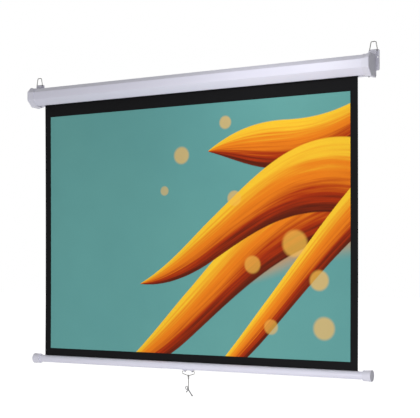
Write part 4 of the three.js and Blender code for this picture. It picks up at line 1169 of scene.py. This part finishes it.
def cap_mesh():
    """The right-hand cap, joined from its parts."""
    mesh = combined(combined(collar, plate), lug)
    face = case_high.x + FIT
    for z in (axis_z - BOSS_REACH, axis_z + BOSS_REACH):
        boss = rod(BOSS_RADIUS, (face - BOSS_LENGTH, axis_y, z), (face + CAP_WALL / 2, axis_y, z))
        pilot = rod(SCREW_BORE, (face - 2 * BOSS_LENGTH, axis_y, z), (face, axis_y, z))
        mesh = combined(combined(mesh, boss), pilot, "DIFFERENCE")
    bore_ends = [(loop_x + way * KNUCKLE_LENGTH, knuckle_y, knuckle_z) for way in (-1, 1)]
    hole_x, hole_z = (cap_end + plate_end) / 2, cap_top - PLATE_HOLE_DROP
    holes = [rod(LOOP_BORE, *bore_ends),
             rod(PLATE_HOLE, (hole_x, -2 * PLATE_THICK, hole_z), (hole_x, PLATE_THICK, hole_z))]
    for node in ("cap_screw_right_top", "cap_screw_right_bottom"):
        low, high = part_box(node)
        x, y = (low.x + high.x) / 2, (low.y + high.y) / 2
        holes.append(rod(SCREW_BORE, (x, y, low.z), (x, y, high.z + SCREW_OVERRUN)))
    for hole in holes:
        mesh = combined(mesh, hole, "DIFFERENCE")
    return mesh


def mirrored(mesh, name):
    """The left-hand twin of a right-hand mesh."""
    twin = mesh.copy()
    twin.name = name
    twin.transform(Matrix.Scale(-1, 4, (1, 0, 0)))
    twin.flip_normals()
    return twin


right_cap = cap_mesh()
left_cap = mirrored(right_cap, "cap_moulding_left")
for side, mesh in (("right", right_cap), ("left", left_cap)):
    dressed(f"cap_moulding_{side}", mesh, cap_plastic, "case", [f"end_cap_{side}"], sharp=32)

# %% [markdown]
# Pan-head screws hold the collars to the case. The head is a turned dome, and a cross recess cut into it is
# what makes it read as a screw.

# %% Cap screws
HEAD_RADIUS, HEAD_HEIGHT, HEAD_RIM = 3.0 * MM, 1.9 * MM, 0.5 * MM
SHANK_RADIUS, SHANK_LENGTH, SHANK_TIP = 1.4 * MM, 9.0 * MM, 1.6 * MM
POINT_RADIUS, DOME_TOP = 0.2 * MM, 0.3 * MM
THREAD_STEP, THREAD_STEPS, THREAD_DEPTH = 0.4 * MM, 18, 0.22 * MM
RECESS_LENGTH, RECESS_WIDTH, RECESS_DEPTH, RECESS_OVERRUN = 1.7 * MM, 0.38 * MM, 1.3 * MM, 0.4 * MM
RECESS_FLOOR_SHARES = (0.35, 0.8)
DOME_STEPS = 8
FIRST_TURN = 0.5


def recess_bar(turn):
    """One bar of the cross recess, narrower at its floor."""
    corners = [(-RECESS_LENGTH, -RECESS_WIDTH), (RECESS_LENGTH, -RECESS_WIDTH),
               (RECESS_LENGTH, RECESS_WIDTH), (-RECESS_LENGTH, RECESS_WIDTH)]
    along_share, across_share = RECESS_FLOOR_SHARES
    floor = [Vector((x * along_share, y * across_share, HEAD_HEIGHT - RECESS_DEPTH)) for x, y in corners]
    mouth = [Vector((x, y, HEAD_HEIGHT + RECESS_OVERRUN)) for x, y in corners]
    return solid_of("cross", [floor, mouth], move=Matrix.Rotation(math.radians(turn), 4, "Z"))


def screw_mesh():
    """A screw with its head's flat at the origin and its shank running down."""
    dome = [(HEAD_RADIUS * math.cos(t), HEAD_RIM + (HEAD_HEIGHT - HEAD_RIM) * math.sin(t))
            for t in [math.pi / 2 * i / DOME_STEPS for i in range(DOME_STEPS)]]
    thread = [(SHANK_RADIUS - THREAD_DEPTH * (i % 2), SHANK_TIP - SHANK_LENGTH + i * THREAD_STEP)
              for i in range(THREAD_STEPS)]
    profile = [(POINT_RADIUS, -SHANK_LENGTH), *thread, (SHANK_RADIUS, 0.0), (HEAD_RADIUS, 0.0), *dome,
               (DOME_TOP, HEAD_HEIGHT)]
    mesh = solid_of("pan_screw", turned(profile, TURNED_POINTS))
    for turn in (0, 90):
        mesh = combined(mesh, recess_bar(turn), "DIFFERENCE")
    return mesh


plain_screw = screw_mesh()
for number, side in enumerate(("left", "right")):
    for level, flip, seat in (("top", 0, -1), ("bottom", 180, 1)):
        node = f"cap_screw_{side}_{level}"
        low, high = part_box(node)
        flat = (high.z if level == "top" else low.z) + seat * HEAD_HEIGHT
        place = Matrix.Translation(((low.x + high.x) / 2, (low.y + high.y) / 2, flat))
        spin = Matrix.Rotation(math.radians(flip), 4, "X") @ Matrix.Rotation(FIRST_TURN + number, 4, "Z")
        mesh = plain_screw.copy()
        mesh.transform(place @ spin)
        dressed(f"pan_{node}", mesh, wire_zinc, "case", [node])

# %% [markdown]
# The loops are 3 mm wire bent round a former: straight legs, even bends and short feet that turn in the lugs.
# The line is drawn by its corners, and each corner becomes an arc.

# %% Hang loops
WIRE = 1.5 * MM
LOOP_HEIGHT, LOOP_BEND = 30 * MM, 4.2 * MM
LOOP_FOOT, LOOP_TOP, FOOT_DEPTH = 14.2 * MM, 8.5 * MM, 8 * MM
TIP_STEP = 0.4 * MM
ROUNDING_SHARES = (0.55, 0.85, 1.0)


def loop_mesh(centre_x):
    """A loop at rest, standing up from its lug, with rounded tips."""
    centre = Vector((centre_x, knuckle_y, knuckle_z))
    half = [(LOOP_FOOT - FOOT_DEPTH, 0.0), (LOOP_FOOT, 0.0), (LOOP_TOP, LOOP_HEIGHT)]
    left = [centre + Vector((-x, 0, z)) for x, z in half]
    right = [centre + Vector((x, 0, z)) for x, z in half[::-1]]
    path = bent(left + right, LOOP_BEND, BEND_STEPS, closed=False)
    steps_in = [Vector((i * TIP_STEP, 0, 0)) for i in range(len(ROUNDING_SHARES))]
    path = [path[0] + step for step in steps_in] + path[1:-1] + [path[-1] - step for step in steps_in[::-1]]
    last = len(path) - 1

    def section(step):
        from_tip = min(step, last - step)
        share = ROUNDING_SHARES[from_tip] if from_tip < len(ROUNDING_SHARES) else 1.0
        return circle(WIRE * share, WIRE_POINTS)

    return solid_of("wire_loop", tube(path, section))


for side, way in (("left", -1), ("right", 1)):
    body = f"hang_loop_{side}"
    dressed(f"wire_loop_{side}", loop_mesh(way * loop_x), wire_zinc, body, [body], sharp=60)

# %% [markdown]
# The cloth hangs from the back of the roller, leaves by the slot and ends in the bar. A coated cloth is never
# quite flat: it waves slightly between its ends and curls at its free edges. A simulation would give chance
# folds, but a formula keeps the waves small and the same each time.

# %% Waves of the cloth
CLOTH_THICK = 0.35 * MM
# Height of each wave, and its radians for each metre across and down
SLOW_WAVE, SLOW_ACROSS, SLOW_DOWN, SLOW_START = 0.9 * MM, 5.1, 2.3, 0.6
PLEAT_WAVE, PLEAT_ACROSS, PLEAT_DOWN = 0.35 * MM, 19.0, 4.0
EDGE_CURL, CURL_WIDTH, CURL_POWER = 2.2 * MM, 55 * MM, 0.8
seam_z = masking_low.z + BOTTOM_BORDER


def cloth_wave(x, z):
    """How far the cloth stands behind its flat place."""
    span = min(max((case_low.z - z) / (case_low.z - masking_low.z), 0.0), 1.0)
    free = math.sin(math.pi * span)
    slow = SLOW_WAVE * math.sin(SLOW_ACROSS * x + SLOW_DOWN * z + SLOW_START) * free
    pleat = PLEAT_WAVE * math.sin(PLEAT_ACROSS * x + PLEAT_DOWN * z) * free**2
    near_edge = math.exp(-(((CLOTH_WIDTH / 2 - abs(x)) / CURL_WIDTH) ** 2))
    return slow + pleat + EDGE_CURL * near_edge * free**CURL_POWER


middle_z = (case_low.z + masking_low.z) / 2
print(f"the cloth's free edge stands {cloth_wave(CLOTH_WIDTH / 2, middle_z) / MM:.1f} mm back at mid height")

# %% [markdown]
# The sheet is a fine grid with a front, a back and a rim between them, so it has a thickness. A map keeps
# each point's place on the flat cloth, and the picture is painted from that map.


# %% Sheet of cloth
def sheet_points(top, bottom, columns, rows):
    """The points of front and back, and the flat place of each."""
    points, flat = [], []
    for face in (-1, 1):
        for r in range(rows + 1):
            z = top + (bottom - top) * r / rows
            for c in range(columns + 1):
                x = -CLOTH_WIDTH / 2 + CLOTH_WIDTH * c / columns
                points.append((x, cloth_y + cloth_wave(x, z) + face * CLOTH_THICK / 2, z))
                flat.append((x + CLOTH_WIDTH / 2 - SIDE_BORDER, z - seam_z))
    return points, flat


def sheet_faces(columns, rows):
    """The faces of front, back and rim."""
    def at(r, c, face):
        return (face * (rows + 1) + r) * (columns + 1) + c

    faces = []
    for r in range(rows):
        for c in range(columns):
            faces.append((at(r, c, 0), at(r + 1, c, 0), at(r + 1, c + 1, 0), at(r, c + 1, 0)))
            faces.append((at(r, c, 1), at(r, c + 1, 1), at(r + 1, c + 1, 1), at(r + 1, c, 1)))
    rim = [(0, c) for c in range(columns)] + [(r, columns) for r in range(rows)]
    rim += [(rows, c) for c in range(columns, 0, -1)] + [(r, 0) for r in range(rows, 0, -1)]
    for here, there in zip(rim, rim[1:] + rim[:1]):
        faces.append((at(*here, 0), at(*there, 0), at(*there, 1), at(*here, 1)))
    return faces


def cloth_mesh(name, top, bottom, columns, rows):
    """A sheet of cloth with its map, coated in front and plain behind."""
    points, flat = sheet_points(top, bottom, columns, rows)
    mesh = bpy.data.meshes.new(name)
    mesh.from_pydata(points, [], sheet_faces(columns, rows))
    layer_map = mesh.uv_layers.new(name=CLOTH_MAP)
    for loop in mesh.loops:
        layer_map.data[loop.index].uv = flat[loop.vertex_index]
    for coat in (front_coat, rear_coat):
        mesh.materials.append(coat)
    for polygon in mesh.polygons:
        polygon.material_index = 1 if min(polygon.vertices) >= len(points) // 2 else 0
    return mesh


print("a sheet of two by two fields has", len(sheet_faces(2, 2)), "faces")

# %% [markdown]
# The cloth is two pieces. The black strip under the panel rides up with the bar unchanged, so that its hem
# stays in the slot.

# %% Panel and strip
COLUMNS, PANEL_ROWS, STRIP_ROWS = 96, 72, 4
panel = dressed(
    "cloth_panel", cloth_mesh("cloth_panel", sheet_high.z, seam_z, COLUMNS, PANEL_ROWS),
    None, "case", ["screen_cloth", "masking_border"], sharp=50,
)
strip = dressed(
    "cloth_strip", cloth_mesh("cloth_strip", seam_z, sheet_low.z, COLUMNS, STRIP_ROWS),
    None, "bar", sharp=50,
)

# %% [markdown]
# A turn and a half of the cloth never leaves the roller. It is a spiral as thick as the cloth, which starts
# where the cloth hangs down and winds inwards.

# %% Spare turns
TURNS_INNER, TURNS_OUTER, TURNS, SPIRAL_STEPS = 15.75 * MM, 16.375 * MM, 1.5, 144


def wound_section():
    """The outline of the spiral, along its outer side and back along its inner one."""
    outer, inner = [], []
    for i in range(SPIRAL_STEPS + 1):
        share = i / SPIRAL_STEPS
        turn = 2 * math.pi * TURNS * share
        radius = TURNS_OUTER + (TURNS_INNER - TURNS_OUTER) * share
        for line, way in ((outer, 1), (inner, -1)):
            reach = radius + way * CLOTH_THICK / 2
            line.append(Vector((axis_y + reach * math.cos(turn), axis_z + reach * math.sin(turn))))
    return outer + inner[::-1]


wound_mesh = drawn_out("wound_turns", wound_section(), (-CLOTH_WIDTH / 2, CLOTH_WIDTH / 2))
turns = dressed("wound_turns", wound_mesh, rear_coat, "roller", ["spare_turns"], sharp=50)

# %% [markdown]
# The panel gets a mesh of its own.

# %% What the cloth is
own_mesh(panel)

# %% [markdown]
# The bar is an enamelled tube with a slot for the hem along its top. Two arcs, one for the outer face and one
# for the bore, make its outline, which is carried along the bar.

# %% Bar
BAR_RADIUS, BAR_WALL, BAR_SLOT, BAR_STEPS = 14 * MM, 1.4 * MM, 4 * MM, 60
bar_low, bar_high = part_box("weight_bar")
bar_z = bar_low.z + BAR_RADIUS


def bar_section():
    """The slotted tube's outline."""
    inner_radius = BAR_RADIUS - BAR_WALL
    outer_turn, inner_turn = (math.asin(BAR_SLOT / 2 / radius) for radius in (BAR_RADIUS, inner_radius))
    up, round_to_up = math.pi / 2, math.pi / 2 + 2 * math.pi
    centre = (cloth_y, bar_z)
    outer = arc(centre, BAR_RADIUS, up + outer_turn, round_to_up - outer_turn, BAR_STEPS)
    return outer + arc(centre, inner_radius, round_to_up - inner_turn, up + inner_turn, BAR_STEPS)


bar_mesh = drawn_out("enamel_bar", bar_section(), (bar_low.x, bar_high.x))
dressed("enamel_bar", bar_mesh, enamel, "bar", ["weight_bar"])

# %% [markdown]
# The push-on caps are plain sleeves with a rounded first edge, and flare a little to a rolled rim round a
# shallow dish. One profile goes from the bore round the outside to the middle of the dish.

# %% Caps of the bar
SLEEVE, DISH_DEPTH, BAR_CAP_POINTS = 18.6 * MM, 1.2 * MM, 72
bar_cap_low, bar_cap_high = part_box("bar_cap_right")
CAP_RIM = bar_cap_high.z - bar_z
start, end = bar_cap_low.x, bar_cap_high.x
bar_cap_profile = [
    (BAR_RADIUS + FIT, end - 3.0 * MM), (BAR_RADIUS + FIT, start + 0.4 * MM), (BAR_RADIUS + 0.7 * MM, start),
    (17.4 * MM, start), (18.0 * MM, start + 0.2 * MM), (18.45 * MM, start + 0.65 * MM),
    (SLEEVE, start + 1.3 * MM), (SLEEVE, start + 18.6 * MM), (18.8 * MM, start + 19.7 * MM),
    (19.25 * MM, start + 20.9 * MM), (CAP_RIM, start + 22.2 * MM), (CAP_RIM, end - 1.6 * MM),
    (19.35 * MM, end - 0.8 * MM), (18.9 * MM, end - 0.2 * MM), (18.2 * MM, end),
    (17.3 * MM, end - 0.15 * MM), (16.8 * MM, end - 1.0 * MM),
    (8.0 * MM, end - DISH_DEPTH), (0.3 * MM, end - DISH_DEPTH),
]
bar_cap_rings = [side_view(x, circle(radius, BAR_CAP_POINTS)) for radius, x in bar_cap_profile]
bar_cap = solid_of("bar_cap", bar_cap_rings, move=Matrix.Translation((0, cloth_y, bar_z)))
for side, mesh in (("right", bar_cap), ("left", mirrored(bar_cap, "bar_cap_twin"))):
    dressed(f"push_on_cap_{side}", mesh, cap_plastic, "bar", [f"bar_cap_{side}"], sharp=40)

# %% [markdown]
# A pressed strip riveted under the bar has two ears, and the wire handle turns in them. Its edges are rounded
# over by a bevel, because pressing leaves them soft and a sharp edge would never catch the light.

# %% Saddle
SADDLE_LENGTH, SADDLE_THICK, SADDLE_SPREAD = 46 * MM, 1.5 * MM, 0.62
EAR_WIDTH, EAR_THICK, EAR_SPACING, EAR_DROP = 7 * MM, 2.5 * MM, 30 * MM, 2.8 * MM
EAR_ROOT, SADDLE_SOFT = 0.9 * MM, 0.25 * MM
EAR_STEPS, SADDLE_STEPS = 16, 20
SOFT_STEPS, SOFT_ANGLE = 2, 50
saddle_inner = BAR_RADIUS + FIT
saddle_outer = saddle_inner + SADDLE_THICK
saddle_z = bar_z - saddle_outer
handle_z = saddle_z - EAR_DROP


def softened(mesh, width):
    """A mesh with its sharp edges rounded over by a bevel."""
    base = placed("base", mesh)
    modifier = base.modifiers.new("round", "BEVEL")
    modifier.width = width
    modifier.segments = SOFT_STEPS
    modifier.limit_method = "ANGLE"
    modifier.angle_limit = math.radians(SOFT_ANGLE)
    return applied(base)


def ear_shape(middle):
    """One ear, rounded round the handle's axis and rooted in the strip."""
    half, root = EAR_WIDTH / 2, saddle_z + EAR_ROOT
    line = arc((cloth_y, handle_z), half, math.pi, 2 * math.pi, EAR_STEPS)
    line += [Vector((cloth_y + half, root)), Vector((cloth_y - half, root))]
    return drawn_out("ear", line, (middle - EAR_THICK / 2, middle + EAR_THICK / 2))


def saddle_mesh():
    """The pressed strip with its two ears, and the holes in them."""
    centre, down = (cloth_y, bar_z), -math.pi / 2
    first, last = down - SADDLE_SPREAD, down + SADDLE_SPREAD
    line = arc(centre, saddle_outer, first, last, SADDLE_STEPS)
    line += arc(centre, saddle_inner, last, first, SADDLE_STEPS)
    mesh = drawn_out("saddle", line, (-SADDLE_LENGTH / 2, SADDLE_LENGTH / 2))
    for middle in (-EAR_SPACING / 2, EAR_SPACING / 2):
        mesh = combined(mesh, ear_shape(middle))
    ends = [(way * SADDLE_LENGTH, cloth_y, handle_z) for way in (-1, 1)]
    return softened(combined(mesh, rod(LOOP_BORE, *ends), "DIFFERENCE"), SADDLE_SOFT)


dressed("pressed_saddle", saddle_mesh(), enamel, "bar", ["handle_saddle"], sharp=40)

# %% [markdown]
# Two rivets hold the strip. The head of a rivet is a low turned dome, and its shank goes up through strip and
# bar.

# %% Rivets
RIVET_HEAD, RIVET_HEIGHT, RIVET_SHANK, RIVET_TIP = 2.6 * MM, 1.1 * MM, 1.4 * MM, 0.2 * MM
dome_turns = [math.pi / 2 * i / DOME_STEPS for i in range(DOME_STEPS)]
rivet_dome = [(RIVET_HEAD * math.cos(t), -RIVET_HEIGHT * math.sin(t)) for t in dome_turns]
for side in ("left", "right"):
    low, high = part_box(f"saddle_rivet_{side}")
    profile = [(RIVET_SHANK, high.z - saddle_z), (RIVET_SHANK, 0.0), (RIVET_HEAD, 0.0), *rivet_dome[1:],
               (RIVET_TIP, -RIVET_HEIGHT)]
    place = Matrix.Translation(((low.x + high.x) / 2, cloth_y, saddle_z))
    mesh = solid_of(f"rivet_{side}", turned(profile, TURNED_POINTS), move=place)
    dressed(f"domed_rivet_{side}", mesh, wire_zinc, "bar", [f"saddle_rivet_{side}"])

# %% [markdown]
# The handle is bent from one wire: out from the ears, round, and down to a dip that keeps the cord in the
# middle. Half of its corners are enough, because the other half is mirrored.

# %% Handle
HANDLE_BEND = 3.4 * MM
# Corners of the right half, in millimetres from the middle of the ears
HANDLE_CORNERS = [(10.75, 0.0), (25.5, 0.0), (25.5, -8.6), (3.4, -15.0), (1.6, -17.0)]
handle_centre = Vector((0, cloth_y, handle_z))
right = [handle_centre + Vector((x, 0, z)) * MM for x, z in HANDLE_CORNERS]
left = [handle_centre + Vector((-x, 0, z)) * MM for x, z in HANDLE_CORNERS[::-1]]
handle_path = bent(right + left, HANDLE_BEND, BEND_STEPS, closed=False)
handle_mesh = solid_of("wire_handle", tube(handle_path, circle(WIRE, WIRE_POINTS)))
dressed("wire_handle", handle_mesh, bright_wire, "handle", ["pull_handle"], sharp=60)

# %% [markdown]
# The roller, its spring and its ratchet stay as the frame has them. They show only through the slot, so a
# good finish is all that they need.

# %% Finishes for the inner pieces
INNER_FINISH = {
    "roller_tube": roller_zinc, "hem_rod": nylon, "idler_bush": nylon,
    "idler_plug": black_plastic, "ratchet_plug": black_plastic, "spring_anchor": black_plastic,
}
for name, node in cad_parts.items():
    if node.hide_render:
        continue
    node.data.materials.clear()
    node.data.materials.append(INNER_FINISH.get(name, plate_zinc))
print("inner pieces finished:", sum(not node.hide_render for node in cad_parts.values()))

# %% [markdown]
# The photograph has a pure white ground. The world is white only to the camera and in reflections, and gives
# the rest of the light at a lower level, so that the ground stays white while the sides turned away from the
# lamps keep their tones.

# %% White surroundings
AMBIENT = 0.27
world = bpy.data.worlds.new("studio")
world.use_nodes = True
bpy.context.scene.world = world
tree = world.node_tree


def seen_share(tree):
    """1 for what the camera sees, straight or through gloss or glass, and 0 for other light."""
    path = add(tree, "ShaderNodeLightPath")
    seen = calc(tree, "ADD", path.outputs["Is Camera Ray"], path.outputs["Is Glossy Ray"], clamp=True)
    return calc(tree, "ADD", seen, path.outputs["Is Transmission Ray"], clamp=True)


strength = calc(tree, "MULTIPLY_ADD", seen_share(tree), 1.0 - AMBIENT, AMBIENT)
fill(tree, tree.nodes["Background"], {"Color": (1, 1, 1, 1), "Strength": strength})
print("other light comes at", AMBIENT, "of the white that the camera sees")

# %% [markdown]
# The light in the photograph is soft and comes from the front, a little below the case, so that the end faces
# stay grey and the slanting faces differ. One wide lamp gives that light, a small one near the case brightens
# its front where the photograph is brightest, and a rear one lights the back. The rear lamp stands above the
# case, because lower down its glare would wipe out the underside.

# %% Lamps
# Name, place, aim, width and power
LAMPS = [
    ("fill", (0.45, -2.0, -1.05), (0.1, 0.0, -0.7), 1.0, 24.5),
    ("key", (0.36, -0.55, 0.06), (0.36, 0.0, -0.09), 0.25, 1.0),
    ("rear", (0.0, 2.4, 0.7), (0.0, 0.0, -0.4), 1.4, 40.0),
]
for name, place, aim, width, watts in LAMPS:
    lamp_data = bpy.data.lights.new(name, "AREA")
    lamp_data.size = width
    lamp_data.energy = watts
    lamp = placed(name, lamp_data)
    lamp.location = place
    lamp.rotation_euler = (Vector(aim) - Vector(place)).to_track_quat("-Z", "Y").to_euler()
print(len(LAMPS), "lamps")

# %% [markdown]
# A wide pale floor lies well under the screen. It glows to the camera and in reflections only, so that it
# merges with the white ground and lights nothing.

# %% Floor
FLOOR_DROP, FLOOR_HALF, FLOOR_GLOW = 0.9, 40.0, 0.85
floor_z = cad_low.z - FLOOR_DROP
floor_corners = [(x * FLOOR_HALF, y * FLOOR_HALF, floor_z) for x, y in ((-1, -1), (1, -1), (1, 1), (-1, 1))]
floor_mesh = bpy.data.meshes.new("floor")
floor_mesh.from_pydata(floor_corners, [], [(0, 1, 2, 3)])
floor = placed("floor", floor_mesh)
floor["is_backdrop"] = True
pale, tree, shader = new_material("pale_floor", roughness=0.9, specular=0.1)
glow = calc(tree, "MULTIPLY", seen_share(tree), FLOOR_GLOW)
fill(tree, shader, {
    "Base Color": (0.9, 0.9, 0.9, 1), "Emission Color": (1, 1, 1, 1), "Emission Strength": glow,
})
floor_mesh.materials.append(pale)
print(f"floor at {floor_z:.3f} m")

# %% [markdown]
# At the end the finished model is measured beside the imported one, because dressing it must not make it
# larger. Both sizes are printed in metres, as the length of each side.

# %% Sizes
low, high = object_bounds()
print("visual model", [round(side, 4) for side in high - low], "m, packed model",
      [round(side, 4) for side in cad_high - cad_low], "m")
